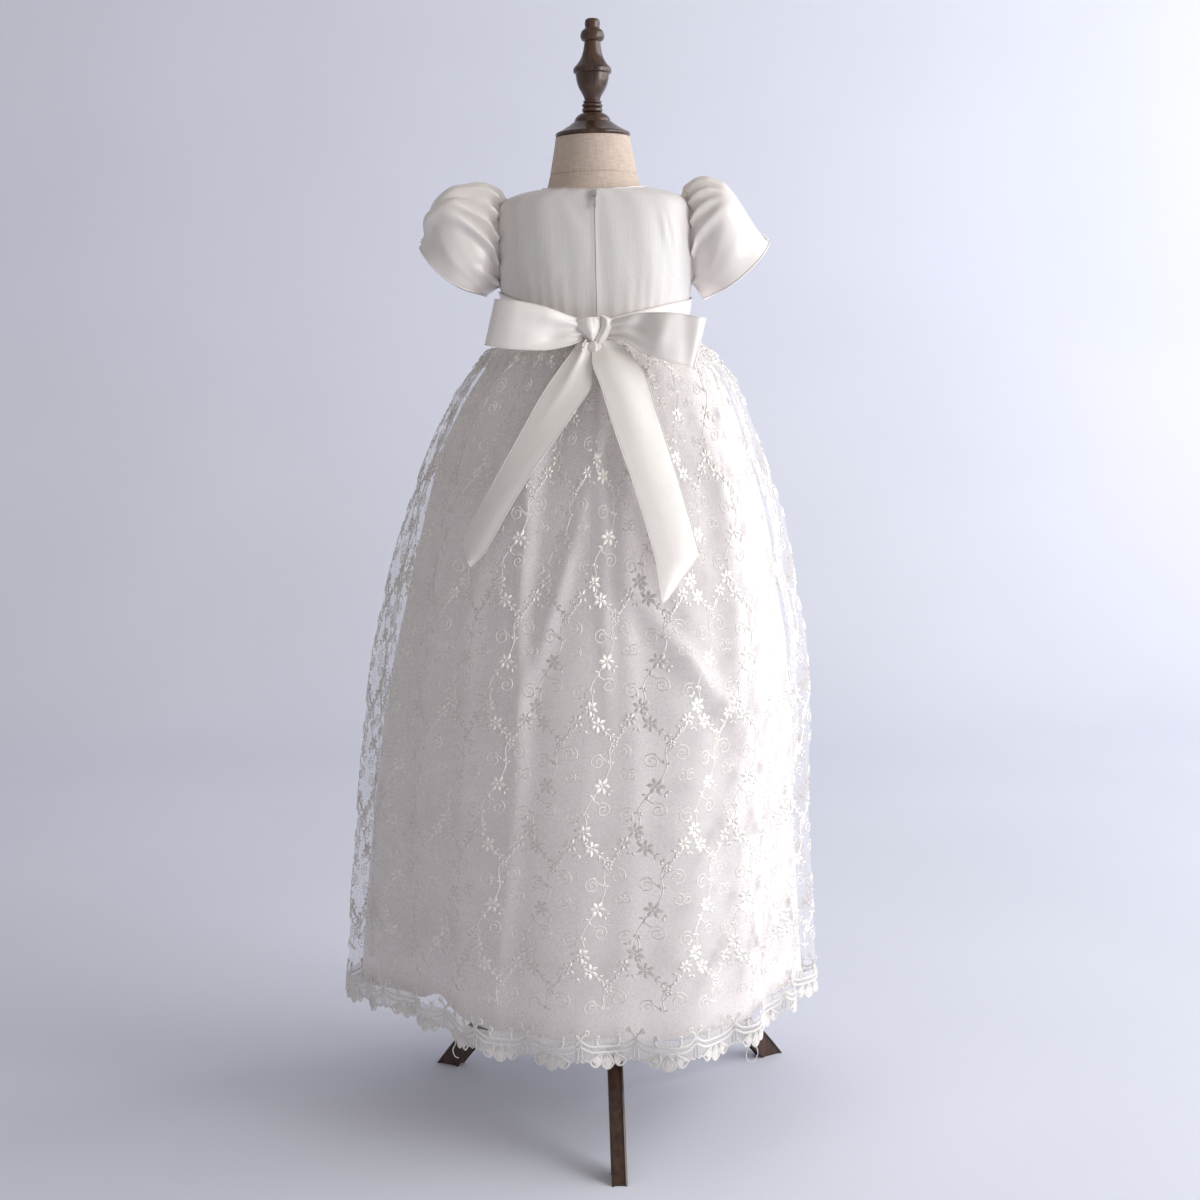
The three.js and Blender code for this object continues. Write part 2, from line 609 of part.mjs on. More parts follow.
function knotGeometry(grow) {
  const knot = new THREE.SphereGeometry(1, KNOT.around, KNOT.rows);
  knot.deleteAttribute('normal');
  knot.deleteAttribute('uv');
  knot.scale(KNOT.half + grow, KNOT.deep + grow, KNOT.tall + grow);
  knot.translate(KNOT.x, KNOT.y, KNOT.z);
  return mergeVertices(knot, 1e-4);
}

function clearOfKnot(geometry) {
  return toGeometry(toSolid(geometry).subtract(toSolid(knotGeometry(KNOT.clear))));
}

// A loop of ribbon stands open at top and bottom: out along its near layer and back along its far one.
function loopGeometry(rows) {
  const near = rows.map(({ x, near: y, low, high }) => ({ x, y, low, high }));
  const far = rows.slice(0, -1).reverse().map(({ x, far: y, low, high }) => ({ x, y, low, high }));
  const path = [...near, ...far];
  const shift = (i) => {
    const before = path[Math.max(i - 1, 0)];
    const after = path[Math.min(i + 1, path.length - 1)];
    const run = new THREE.Vector2(after.x - before.x, after.y - before.y).normalize();
    const turn = Math.sign(rows[rows.length - 1].x);
    return { x: -run.y * RIBBON_WALL * turn, y: run.x * RIBBON_WALL * turn };
  };
  const grid = (depth) => Array.from({ length: LOOP_ROWS + 1 }, (_, row) => path.map((point, i) => {
    const move = shift(i);
    const z = lerp(point.low, point.high, row / LOOP_ROWS);
    const lean = LOOP_LEAN.slope * (z - LOOP_LEAN.middleZ) * Math.abs(point.x / LOOP_LEAN.reach) ** 2;
    return new THREE.Vector3(point.x + lean + move.x * depth, point.y + move.y * depth, z);
  }));
  return wallBody(grid(0), grid(1));
}

// How far the skirt's fold crests reach towards the back at a place across and up, by halving.
const HALVINGS = 30;

function skirtDepth(x, z) {
  const at = (name) => columnAt(SKIRT_SECTIONS, 'z', name, z);
  let [low, high] = [LEFT, RIGHT];
  for (let i = 0; i < HALVINGS; i += 1) {
    const middle = (low + high) / 2;
    if (skirtRing(middle, z, 0, at('fold')).x < x) low = middle;
    else high = middle;
  }
  return -skirtRing(low, z, 0, at('fold')).y;
}

function tailGeometry(rows) {
  const place = (x, z, lift) => {
    const depth = Math.max(skirtDepth(x, z) + TAIL_LIFT, TAIL_TOP_DEPTH);
    return new THREE.Vector3(x, -depth - lift, z);
  };
  const grid = (lift) => rows.map((row) => Array.from({ length: TAIL_STEPS + 1 }, (_, i) => {
    const t = i / TAIL_STEPS;
    return place(lerp(row.leftX, row.rightX, t), lerp(row.leftZ, row.rightZ, t), lift);
  }));
  return wallBody(grid(RIBBON_WALL), grid(0));
}

function addBow() {
  addNode('bow_knot', knotGeometry(0), 'ribbon');
  for (const side of ['left', 'right']) {
    addNode(`bow_loop_${side}`, clearOfKnot(loopGeometry(LOOPS[side])), 'ribbon');
    addNode(`bow_tail_${side}`, clearOfKnot(tailGeometry(TAILS[side])), 'ribbon');
  }
}

// Zip
function addZip() {
  const surface = movedOut(bodiceSurface, -CHAIN.recess);
  const rows = BODICE_ROWS.map((z) => Math.min(z, CHAIN.topZ));
  const sideAt = (z) => [BACK - chainAngle(z), BACK + chainAngle(z)];
  addNode('zip_chain', panelBody(surface, rows, sideAt, 1, BODICE_WALL - CHAIN.recess), 'zip');
  addSlider();
}

function plateGeometry(outline, holes, depth) {
  const shape = new THREE.Shape(outline.map(([x, y]) => new THREE.Vector2(x, y)));
  for (const hole of holes) {
    shape.holes.push(new THREE.Path(hole.map(([x, y]) => new THREE.Vector2(x, y))));
  }
  const plate = new THREE.ExtrudeGeometry(shape, { depth, bevelEnabled: false });
  plate.deleteAttribute('normal');
  plate.deleteAttribute('uv');
  return mergeVertices(plate, 1e-4);
}

// The slider and its pull are built flat, X across, Y up the chain and Z off the cloth.
function addSlider() {
  const { length, width, nose, plate } = SLIDER;
  const outline = [
    [-width / 2, length / 2],
    [-width / 2, -length / 2 + nose],
    [-nose / 2, -length / 2],
    [nose / 2, -length / 2],
    [width / 2, -length / 2 + nose],
    [width / 2, length / 2],
  ];
  const base = plateGeometry(outline, [], plate);
  const { half, post, rise, top } = BRIDGE;
  const arch = [[-half, plate / 2], [half, plate / 2], [half, plate + rise], [-half, plate + rise]];
  const eyeTop = plate + rise - top;
  const eye = [[-half + post, plate], [-half + post, eyeTop], [half - post, eyeTop], [half - post, plate]];
  const bridge = plateGeometry(arch, [eye], BRIDGE.width);
  bridge.translate(0, 0, -BRIDGE.width / 2);
  bridge.applyMatrix4(new THREE.Matrix4().set(0, 0, 1, 0, 1, 0, 0, 0, 0, 1, 0, 0, 0, 0, 0, 1));

  const seat = new THREE.Group();
  const normal = outward(bodiceSurface, BACK, SLIDER.z, bodyAxis);
  seat.position.copy(bodiceSurface(BACK, SLIDER.z)).addScaledVector(normal, SLIDER.stand);
  seat.rotation.x = Math.atan2(-normal.y, normal.z);
  group.add(seat);
  addNode('zip_slider', toGeometry(toSolid(base).add(toSolid(bridge))), 'metal', seat);
  addPull(seat, (plate + eyeTop) / 2);
}

function addPull(seat, pivotHeight) {
  const { length, eyeWidth, eyeInside, eyeLength, bar, tabWidth, shoulder, corner } = PULL;
  const outline = [
    [-eyeWidth / 2, bar / 2],
    [-eyeWidth / 2, -eyeLength],
    [-tabWidth / 3, -eyeLength - shoulder],
    [-tabWidth / 2, -length + corner],
    [-tabWidth / 3, -length],
    [tabWidth / 3, -length],
    [tabWidth / 2, -length + corner],
    [tabWidth / 3, -eyeLength - shoulder],
    [eyeWidth / 2, -eyeLength],
    [eyeWidth / 2, bar / 2],
  ];
  const [inside, top, bottom] = [eyeInside / 2, -bar / 2, -eyeLength + bar];
  const hole = [[-inside, top], [inside, top], [inside, bottom], [-inside, bottom]];
  const pull = plateGeometry(outline, [hole], bar);
  pull.translate(0, 0, -bar / 2);
  const mesh = addNode('zip_pull', pull, 'metal', seat);
  mesh.position.z = pivotHeight;
}

// Dress form: linen-covered body, wooden neck cap and finial
function addForm() {
  const angles = Array.from({ length: FORM_STEPS }, (_, i) => (360 * i) / FORM_STEPS);
  const body = movedOut(bodiceSurface, -BODICE_WALL - FORM_CLEARANCE);
  const rings = FORM_LOWER.map(({ z, half, deep }) => angles.map((angle) => {
    const ring = oval(angle, BODICE_SQUARENESS);
    return new THREE.Vector3(ring.x * half, ring.y * deep, z);
  }));
  for (const z of BODICE_ROWS) rings.push(angles.map((angle) => body(angle, z)));
  for (const { z, radius } of FORM_NECK) {
    rings.push(angles.map((angle) => new THREE.Vector3(
      radius * Math.cos(radians(angle)), radius * Math.sin(radians(angle)), z)));
  }
  const { share } = FORM_SEAT;
  const seat = rings[0].map((place) => new THREE.Vector3(place.x * share, place.y * share, FORM_SEAT.z));
  rings.unshift(seat);
  addNode('form_torso', stackBody(rings), 'linen');
  addTurned('form_neck_cap', CAP_PROFILE, 'wood');
  const screwZ = FINIAL_PROFILE[0].z;
  const finial = addTurned('form_finial', FINIAL_PROFILE.map(({ r, z }) => ({ r, z: z - screwZ })), 'wood');
  finial.position.z = screwZ;
  finial.rotation.y = radians(FINIAL_LEAN);
}

// A closed body from rings of points, with a flat fan at each end.
function stackBody(rings) {
  const count = rings[0].length;
  const vertices = rings.flat();
  const faces = [];
  for (let row = 0; row < rings.length - 1; row += 1) {
    for (let i = 0; i < count; i += 1) {
      const [a, b] = [row * count + i, row * count + ((i + 1) % count)];
      faces.push([a, b, b + count], [a, b + count, a + count]);
    }
  }
  for (const row of [0, rings.length - 1]) {
    const centre = vertices.length;
    const middle = new THREE.Vector3();
    rings[row].forEach((place) => middle.addScaledVector(place, 1 / count));
    vertices.push(middle);
    for (let i = 0; i < count; i += 1) {
      const [a, b] = [row * count + i, row * count + ((i + 1) % count)];
      faces.push(row === 0 ? [centre, b, a] : [centre, a, b]);
    }
  }
  return bodyFrom(vertices, faces);
}

// Stand: pole, hub and three arched legs
function addStand() {
  addTurned('stand_pole', POLE_PROFILE, 'wood');
  addTurned('stand_hub', HUB_PROFILE, 'wood');
  const slope = radians(LEG.toeSlope);
  const centre = { r: TOE_REACH - LEG.arc * Math.sin(slope), z: -LEG.arc * Math.cos(slope) };
  const arcPoints = (radius) => {
    const root = Math.asin((LEG.root - centre.r) / radius);
    const floor = Math.acos(-centre.z / radius);
    return Array.from({ length: LEG.steps + 1 }, (_, i) => {
      const angle = lerp(root, floor, i / LEG.steps);
      return new THREE.Vector2(centre.r + radius * Math.sin(angle), centre.z + radius * Math.cos(angle));
    });
  };
  const outline = [...arcPoints(LEG.arc), ...arcPoints(LEG.arc - LEG.depth).reverse()];
  for (const [name, angle] of Object.entries(LEG_ANGLES)) {
    const leg = plateGeometry(outline.map((point) => [point.x, point.y]), [], LEG.width);
    leg.translate(0, 0, -LEG.width / 2);
    leg.rotateX(Math.PI / 2);
    addNode(name, leg, 'wood').rotation.z = radians(angle + LEG.turn);
  }
}

addForm();
addStand();
addBodice();
addSkirt();
addSleeves();
addSash();
addBow();
addZip();

export default group;
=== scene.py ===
import bpy
import numpy as np
from mathutils import Matrix, Vector


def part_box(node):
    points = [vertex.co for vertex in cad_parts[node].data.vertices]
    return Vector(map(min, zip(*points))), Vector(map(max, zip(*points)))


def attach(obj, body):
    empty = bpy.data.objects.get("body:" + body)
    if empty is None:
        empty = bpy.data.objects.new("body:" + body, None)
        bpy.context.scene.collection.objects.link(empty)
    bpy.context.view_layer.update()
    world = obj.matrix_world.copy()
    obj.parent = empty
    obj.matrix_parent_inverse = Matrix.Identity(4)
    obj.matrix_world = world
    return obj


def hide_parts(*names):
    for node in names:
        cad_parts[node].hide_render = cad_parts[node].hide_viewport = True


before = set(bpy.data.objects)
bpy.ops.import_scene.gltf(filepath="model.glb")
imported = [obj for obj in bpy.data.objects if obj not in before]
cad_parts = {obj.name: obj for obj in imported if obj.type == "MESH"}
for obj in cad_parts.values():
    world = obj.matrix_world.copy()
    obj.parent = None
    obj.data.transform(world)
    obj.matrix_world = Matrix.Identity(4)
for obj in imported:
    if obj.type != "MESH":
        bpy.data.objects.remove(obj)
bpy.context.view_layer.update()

# The gown's back faces -Y, its right side is at +X. Lengths here are millimetres from the stand's axis.
BODY = "gown_on_form"
AXIS = np.array([30.5, -2.7, 0.0])
MM = 0.001

# What a surface faces away from: the share kept of its own place, and a shift
BODY_CENTRE = ((0, 0, 1), (0, 0, -20))
BOW_CENTRE = ((1, 1, 1), (0, 40, 0))
LOOP_CENTRE = ((1, 0, 1), (0, -79, 0))

# Camera, fitted to the photograph
CAMERA = {"x": -2.3, "distance": 1643.0, "height": 683.0, "pitch": 7.21, "roll": -1.2, "lens": 54.0}
# Lights in metres: place, aim, size, energy and colour
LIGHTS = {
    "key": ((2.4, -0.5, 1.4), (0, 0, 0.5), (2.0, 2.4), 48, (0.965, 0.98, 1.0)),
    "room": ((2.4, -1.7, 0.85), (0, 0, 0.5), (1.0, 1.5), 24, (1.0, 0.97, 0.94)),
    "backdrop_wash": ((2.6, 1.2, 1.6), (0.4, 2.4, 0.9), (1.0, 2.0), 24, (0.98, 0.985, 1.0)),
}
WORLD = {"colour": (0.76, 0.72, 0.70, 1), "strength": 0.50}
# Backdrop in metres: half width, near end, start of the bend, its radius and the top
BACKDROP_SWEEP = (5.0, -4.0, 1.6, 0.9, 5.0)

# Bodice sections: height, half width, half depth and share of the neckline's dip
BODICE_ROWS = [
    (708, 79.3, 55.6, 0), (724, 80.2, 57.0, 0), (745, 83.6, 59.0, 0), (765, 86.6, 60.2, 0),
    (785, 88.0, 60.0, 0), (805, 88.0, 58.4, 0.12), (820, 87.2, 55.6, 0.35), (830, 84.8, 52.4, 0.6),
    (836.5, 79.0, 50.0, 0.8), (840, 70.0, 48.5, 0.9), (843, 57.0, 47.2, 0.96), (845, 43.6, 46.0, 1),
    (846, 37.0, 45.4, 1),
]
WAIST_Z = 712.0
NECKLINE_Z = 845.0
LACE_TOP_Z = 118.0
HEM_Z = 94.0
ARMHOLE = {"z": 799.0, "half": 37.5, "angle": 21.0}

# Skirt panels in degrees, the gap at each of their sides, and the top edges
PANELS = {"front": (0, 180), "back_right": (-90, 0), "back_left": (-180, -90)}
PANEL_GAP = 0.0143
LINING_TOP_Z = 713.4
OVERLAY_TOP_Z = 711.5
THREADS_TOP_Z = 706.0

# Skirt sections: height, reach left, right, near and far, skew, fold height and the lining's inset
SKIRT_ROWS = [
    (716, 80.5, 80.5, 57, 57, 0, 0, 1.6), (711, 82.5, 82.5, 59, 59, 0, 0, 1.6),
    (703, 97.5, 97, 67, 67, 0, 1.5, 8), (690, 108.5, 108, 75, 76, 0, 3, 12),
    (676, 120, 119, 82, 85, -1, 3.5, 15), (649, 136.5, 129.5, 93, 99, -2, 4, 18),
    (595, 161.5, 147.5, 110, 122, -3, 4.5, 21), (540, 182, 164, 123, 140, -4, 5, 26),
    (485, 198.5, 172.5, 134, 154, -4, 5, 27), (429, 212.5, 182, 143, 166, -5, 5, 26),
    (358, 223.5, 184, 151, 176, -5, 5.5, 22), (288, 232, 181, 157, 183, -6, 6, 19),
    (187, 242.5, 184, 163, 189, -6, 6.5, 17), (90, 251, 187, 168, 194, -6, 7, 15),
]
# Swells and lifts of the skirt at its hem: angle, out and up
DRAPE_ROWS = [
    (-180, 0, 0), (-165, -10, 4), (-150, -24, 8), (-135, -26, 8), (-120, -14, 2), (-105, -6, 0),
    (-90, -1, 0), (-75, 6, 0), (-60, 11, 0), (-45, 1, 2), (-30, -11, 6), (-15, -9, 9), (0, 0, 9),
    (45, -6, 4), (90, 5, 0), (135, -7, 0), (180, 0, 0),
]
# Folds of the satin lining: angle, width in degrees, height, and where each starts and ends
LINING_FOLDS = [
    (-168, 7, 5, 690, 130), (-148, 6, 5, 700, 128), (-128, 7, 4, 640, 128), (-110, 4, 9, 700, 128),
    (-78, 5, 4, 690, 128), (-44, 6, 6, 650, 128), (-30, 6, 5, 690, 128), (-12, 6, 5, 700, 128),
    (10, 7, 5, 690, 128), (34, 7, 7, 700, 128), (58, 6, 6, 700, 128), (80, 6, 8, 690, 128),
    (104, 7, 7, 700, 128), (127, 6, 6, 690, 128), (150, 7, 6, 700, 128),
]
# Drawn folds under the bow: angle, height, lean in degrees over 100 mm, width, depth and half length
LINING_DRAWS = [
    (-60, 430, 24, 5, 9, 65), (-99, 500, -9, 4, 7, 110), (-86, 520, 2, 3, 5, 120),
    (-72, 560, 14, 4, 5, 70), (-118, 560, -14, 5, 5, 80),
]
LINING_HEM = {"z": 111.0, "raised": 13.0}
GATHERS = {"count": 58, "height": 2.4, "fade": 55.0}

# Sleeve rings: top across and up, underarm across and up, and half depth
SLEEVE_RINGS = {
    "left": [
        (97, 843.5, 88.5, 760.4, 27), (108, 848.5, 90.0, 759.0, 33), (122, 849.3, 92.0, 757.6, 37),
        (137, 842.5, 93.8, 756.4, 39), (147, 829.0, 95.6, 755.4, 38.5), (149, 814.0, 97.2, 754.6, 36),
        (156.5, 799.0, 99.0, 754.0, 34),
    ],
    "right": [
        (94, 845.5, 88.3, 759.6, 27), (103, 850.0, 89.4, 757.4, 33), (113, 848.5, 90.6, 755.2, 37),
        (123, 840.5, 92.0, 753.0, 39), (134, 825.0, 93.6, 750.6, 38.5), (145, 808.0, 95.0, 748.4, 36),
        (156.5, 795.5, 96.6, 746.6, 34),
    ],
}
SLEEVE_BELLY = {"left": 10.0, "right": 7.0}
# Gathers of each sleeve: turn in degrees, width, height, drift over the length and reach
SLEEVE_FOLDS = {
    "left": [
        (-60, 12, 1.5, 10, 0.35), (-25, 10, 2.0, -10, 0.4), (20, 10, 2.6, -14, 0.5), (48, 9, 3.0, -20, 0.6),
        (72, 8, 3.2, -6, 0.5), (95, 8, 2.8, 6, 0.45), (120, 8, 4.2, 2, 0.62), (150, 7, 4.4, -30, 0.6),
        (180, 7, 4.6, -70, 0.62), (212, 9, 3.8, -110, 0.6), (250, 11, 2.4, -60, 0.4),
    ],
    "right": [
        (-60, 12, 1.5, 10, 0.35), (-25, 10, 2.0, -10, 0.4), (20, 10, 2.4, -14, 0.5), (46, 9, 2.8, -20, 0.6),
        (70, 8, 3.0, -6, 0.5), (92, 8, 2.8, 4, 0.4), (114, 8, 3.8, 0, 0.4), (138, 8, 3.6, -24, 0.38),
        (166, 9, 3.2, -60, 0.42), (204, 12, 2.8, -110, 0.5), (250, 12, 1.4, -20, 0.3),
    ],
}

# Sash: angle from the knot round the left side, lower and upper edge
SASH_ROWS = [
    (-97, 714.5, 728), (-125, 714, 741), (-160, 713.5, 754), (-180, 713.2, 757), (-225, 713.2, 755),
    (-270, 713.2, 754), (-315, 713.2, 752), (-360, 713.2, 748), (-400, 713.5, 742), (-443, 714.5, 729),
]
# Bow loops: across, near layer, far layer, lower and upper edge
LOOP_ROWS = {
    "left": [
        (-12, -73, -68, 711.0, 727.0), (-24, -80, -69, 706.5, 731.5), (-46, -87, -70.5, 703.0, 739.5),
        (-70, -88, -72, 704.5, 744.5), (-88, -83, -74, 707.5, 746.5), (-92.5, -78.6, -78, 708.5, 747.0),
    ],
    "right": [
        (7, -73, -68, 712.5, 725.5), (20, -81, -70, 711.5, 729.0), (40, -90, -75, 699.0, 732.5),
        (62, -95, -80, 692.0, 732.0), (86, -93, -84, 686.5, 728.0), (93.5, -88.6, -88, 684.5, 726.5),
    ],
}
LOOP_LEAN = {"slope": 0.24, "middle": 726.0, "reach": 90.0}
# Bow tails: left edge across and up, right edge across and up
TAIL_ROWS = {
    "left": [
        (-16.0, 709, -5.4, 709), (-23.5, 699, -5.4, 699), (-45.5, 669, -5.4, 676), (-70.0, 628, -25, 644),
        (-98.0, 580, -62, 594), (-121.0, 541, -101, 531), (-117.5, 529, -113, 519),
    ],
    "right": [
        (-4.4, 709, 13, 711), (-4.4, 692, 29, 697), (2.0, 672, 40, 681), (12.0, 637, 51, 643),
        (29.0, 585, 69, 581), (45.0, 527, 83, 528), (50.0, 489, 56, 494.5),
    ],
}
TAIL_LIFT = 3.2
TAIL_TOP_DEPTH = 74.0
# Knot lobes: height, left and right edge, from top to bottom, each with its depth and bulge
KNOT_LOBES = {
    "knot_lobe_left": {
        "depth": 74.5, "bulge": 7.5,
        "rows": [(729.8, -15.5, 1.2), (727, -18.3, 3.0), (722, -17.6, 3.4), (717, -12.8, 2.0),
                 (713, -8.6, -0.6), (709.6, -4.8, -3.2)],
    },
    "knot_lobe_right": {
        "depth": 73.0, "bulge": 7.0,
        "rows": [(731.2, 3.0, 5.2), (728, 3.4, 13.2), (723, 2.6, 14.4), (717, 0.2, 12.4),
                 (711, -3.4, 8.8), (706.5, -3.0, 4.6)],
    },
    "knot_twist": {
        "depth": 75.0, "bulge": 4.0,
        "rows": [(709.5, -5.5, 1.0), (707.5, -7.6, 3.6), (705, -8.0, 4.4), (702, -7.2, 3.6),
                 (699.5, -5.6, 1.6), (697.5, -4.2, -2.0)],
    },
}
KNOT_CORD = [
    (-9.5, -76.5, 711), (-12.6, -78.5, 706.5), (-13.0, -79.5, 701), (-10.8, -79.5, 694), (-6.8, -78, 687),
]

# Embroidery: repeats round the hem, and one repeat's width and charted height, its height on the cloth,
# the first row's height, the rows and the shift to the left
REPEATS = 28
MOTIF = {"width": 51.0, "height": 120.0, "tall": 105.0, "first": 90.0, "rows": 6, "phase": -4.0}
THREAD = {"width": 1.15, "height": 0.6}
# Flowers: across, up, size, turn and petals. Leaf pairs: across, up and turn. Stems: points and steps.
# Curls: across, up, radius, start and turns
DAISIES = [(0, 8, 17, 10, 6), (-10.5, -4, 14, 40, 6), (8.5, -8, 16, 0, 6), (15, -68, 17, 25, 6),
           (25.5, -27, 9, 15, 5)]
LEAVES = [
    (-17, -11, 120), (16, -14, -125), (21, -19, -130), (31, -22, 50), (36, -15, 65), (-5, 17, 30),
    (21.5, -47, -20), (8, -77, 130), (2, -93, 160), (22, -74, -120), (5, -1, 70), (-4, -12, 170),
]
STEMS = [
    ([(8, -7), (16, -15), (25.5, -21), (34, -17), (41.5, -5)], 8),
    ([(25.5, -22), (21, -34), (22.5, -48), (19, -60), (15, -66)], 8),
    ([(15, -68), (7, -79), (1, -92), (3, -104), (0, -112)], 8),
    ([(21.5, -37), (26, -31), (31, -29)], 5),
    ([(20, -46), (14, -40), (11, -37)], 5),
    ([(6, -80), (12, -84), (14, -85)], 5),
]
CURLS = [
    (35, -36, 7.6, 120, -1.6), (10, -44, 7.0, 60, 1.5), (18, -91, 6.6, 110, -1.5),
    (-9, -97, 7.2, 60, 1.6), (36, -58, 5.6, 100, -1.4), (-7, -58, 5.2, 70, 1.4),
]
# Loose threads of the lace, as points
LOOSE_THREADS = {
    "front": [],
    "back_left": [
        (-141, -101.5, 101), (-139, -103.5, 94), (-141.5, -104, 88), (-140, -104, 82), (-136.5, -104, 80),
    ],
    "back_right": [
        (123, -128.5, 99), (117.5, -130, 90), (118.5, -130.5, 83), (124, -130.5, 82), (127.5, -130, 89),
        (125.5, -129, 97),
    ],
}

# Lace border, charted from one trefoil to the next. Lines: points, steps and width.
# Curls: across, up, radius and width
LACE_LINES = [
    ([(0, 119), (3.5, 115.6), (9, 112.8), (17, 111.6), (25.5, 111.2)], 8, 2.2),
    ([(0, 113), (4, 110.6), (10, 107.6), (17, 106.6), (25.5, 106.2)], 8, 2.2),
    ([(0.6, 117), (1.8, 121.5), (5.4, 124.6)], 6, 2.2),
    ([(17, 111.6), (14.8, 115.5), (15.6, 118.6)], 5, 2.2),
    ([(0.4, 117), (1.4, 110), (2.2, 102)], 5, 1.2),
    ([(0.6, 101), (3, 99.4), (5.4, 101), (7.8, 99.4), (10.2, 101), (12.6, 99.4)], 5, 1.3),
]
LACE_CURLS = [(5.6, 125.2, 2.0, 1.9), (15.8, 119.6, 1.5, 1.7)]
CORD_HEIGHT = 1.0
# Fans on each side of a trefoil: across, tip, lean and half width; the middle fan is drawn once
FANS = {-1: [(15.0, 93.8, -3.6, 4.7)], 1: [(15.0, 93.8, -3.6, 4.7), (25.5, 91.2, 0.0, 5.2)]}

# Turned wood: radius and height, in runs that meet at sharp edges
CAP_RUNS = [
    [(30.5, 890.7), (32.6, 891.2), (33.4, 892.6), (32.8, 894.2), (31.2, 895.0)],
    [(31.2, 895.0), (28.4, 896.4), (24.6, 898.6), (20.6, 901.2), (17.6, 903.4)],
    [(17.6, 903.4), (16.6, 903.6), (16.2, 904.6)],
    [(16.2, 904.6), (15.2, 907.2), (13.0, 909.6), (10.4, 911.2), (9.0, 911.8)],
]
FINIAL_RUNS = [
    [(7.8, 912.1), (8.9, 913.1), (9.1, 914.5), (8.7, 915.7), (7.7, 916.3)],
    [(7.7, 916.3), (8.9, 917.1), (9.2, 918.3), (8.6, 919.5), (7.5, 920.1)],
    [(7.5, 920.1), (8.2, 920.9), (8.0, 922.0), (6.8, 922.7)],
    [(6.8, 922.7), (7.6, 925.4), (9.6, 929.2), (12.2, 933.8), (13.8, 938.4), (14.6, 942.6), (15.0, 945.6)],
    [(15.0, 945.6), (16.4, 946.2), (16.9, 947.4), (16.9, 949.6), (16.2, 951.0)],
    [(16.2, 951.0), (14.2, 953.2), (11.8, 956.4), (9.6, 960.6), (8.2, 965.6), (7.4, 970.2), (7.0, 973.4)],
    [(7.0, 973.4), (9.0, 974.2), (10.4, 976.4), (10.5, 979.4), (9.4, 982.4), (7.0, 984.4)],
    [(7.0, 984.4), (6.4, 985.6), (6.7, 988.6), (6.4, 991.4), (4.8, 993.0), (1.6, 993.4)],
]
POLE_RUNS = [[(11, 170.3), (11, 360), (11, 560)], [(11, 560), (15, 566), (23, 570), (24, 574), (24, 585.4)]]
HUB_RUNS = [
    [(9, 92.2), (13, 93.6), (15, 97.6), (14.4, 101.6), (12, 104.6)],
    [(12, 104.6), (14, 107.2), (17.4, 110.4), (18.4, 114), (18.4, 132), (18.4, 149)],
    [(18.4, 149), (17.4, 152.6), (14.2, 155.6), (13.6, 158)],
    [(13.6, 158), (15.6, 161), (16, 164.4), (15.2, 167.6), (13.4, 169.8)],
]
FINIAL_LEAN = 1.2
LEG = {"root": 18.8, "width": 13.5, "depth": 20, "arc": 467, "slope": 53.3, "turn": 1.2, "toe": 197,
       "round": 1.6}
LEG_ANGLES = {"leg_front": -90, "leg_rear_right": 30, "leg_rear_left": 150}

# Dress form: its sections under the waist, and the neck's radius at each height
FORM_LOWER = [(588, 66, 50), (594, 74, 56), (612, 80, 60), (640, 82, 61), (672, 80, 58), (695, 77.5, 54.5)]
FORM_NECK = [
    (849.5, 41.0), (856.8, 39.05), (857.6, 38.1), (858.4, 38.75), (868, 37.05), (880, 34.8), (890.3, 33.2)
]
FORM_BASE_Z = 586.2
FORM_LEVELS = (712, 736, 761, 772, 786, 799, 812, 826, 834, 837, 841, 845)
FORM_INSET = 2.2


# Curves through tables
def smooth(keys, values):
    keys, values = np.array(keys, float), np.array(values, float)
    if keys[0] > keys[-1]:
        keys, values = keys[::-1], values[::-1]
    step = np.diff(keys)
    slope = np.diff(values) / step
    tangent = np.empty_like(values)
    tangent[0], tangent[-1] = slope[0], slope[-1]
    product, total = slope[:-1] * slope[1:], slope[:-1] + slope[1:]
    tangent[1:-1] = np.where(product > 0, 2 * product / np.where(total == 0, 1, total), 0)

    def at(x):
        x = np.asarray(x, float)
        i = np.clip(np.searchsorted(keys, x, side="right") - 1, 0, len(keys) - 2)
        t = np.clip((x - keys[i]) / step[i], 0, 1)
        return (
            (2 * t**3 - 3 * t**2 + 1) * values[i]
            + (t**3 - 2 * t**2 + t) * step[i] * tangent[i]
            + (3 * t**2 - 2 * t**3) * values[i + 1]
            + (t**3 - t**2) * step[i] * tangent[i + 1]
        )

    return at


def columns(rows):
    rows = np.array(rows, float)
    return [smooth(rows[:, 0], rows[:, i]) for i in range(1, rows.shape[1])]


def by_index(rows):
    rows = np.array(rows, float)
    return [smooth(np.arange(len(rows)), rows[:, i]) for i in range(rows.shape[1])]


BODICE_HALF, BODICE_DEEP, BODICE_DIP = columns(BODICE_ROWS)
SKIRT_LEFT, SKIRT_RIGHT, SKIRT_NEAR, SKIRT_FAR, SKIRT_SKEW, SKIRT_FOLD, SKIRT_INSET = columns(SKIRT_ROWS)
DRAPE_OUT, DRAPE_LIFT = columns(DRAPE_ROWS)


def rise(low, high, value):
    t = np.clip((value - low) / (high - low), 0, 1)
    return t * t * (3 - 2 * t)


def hill(off, width=1.0):
    return np.exp(-((off / width) ** 2))


def crease(off, width, dip):
    return (1 - dip * (off / width) ** 2) * hill(off, width)


def mix(start, end, t):
    return start * (1 - t) + end * t


def cosd(angle):
    return np.cos(np.radians(angle))


def sind(angle):
    return np.sin(np.radians(angle))


def wrap(angle):
    return (angle + 180) % 360 - 180


def spun(x, y, angle):
    return x * cosd(angle) - y * sind(angle), x * sind(angle) + y * cosd(angle)


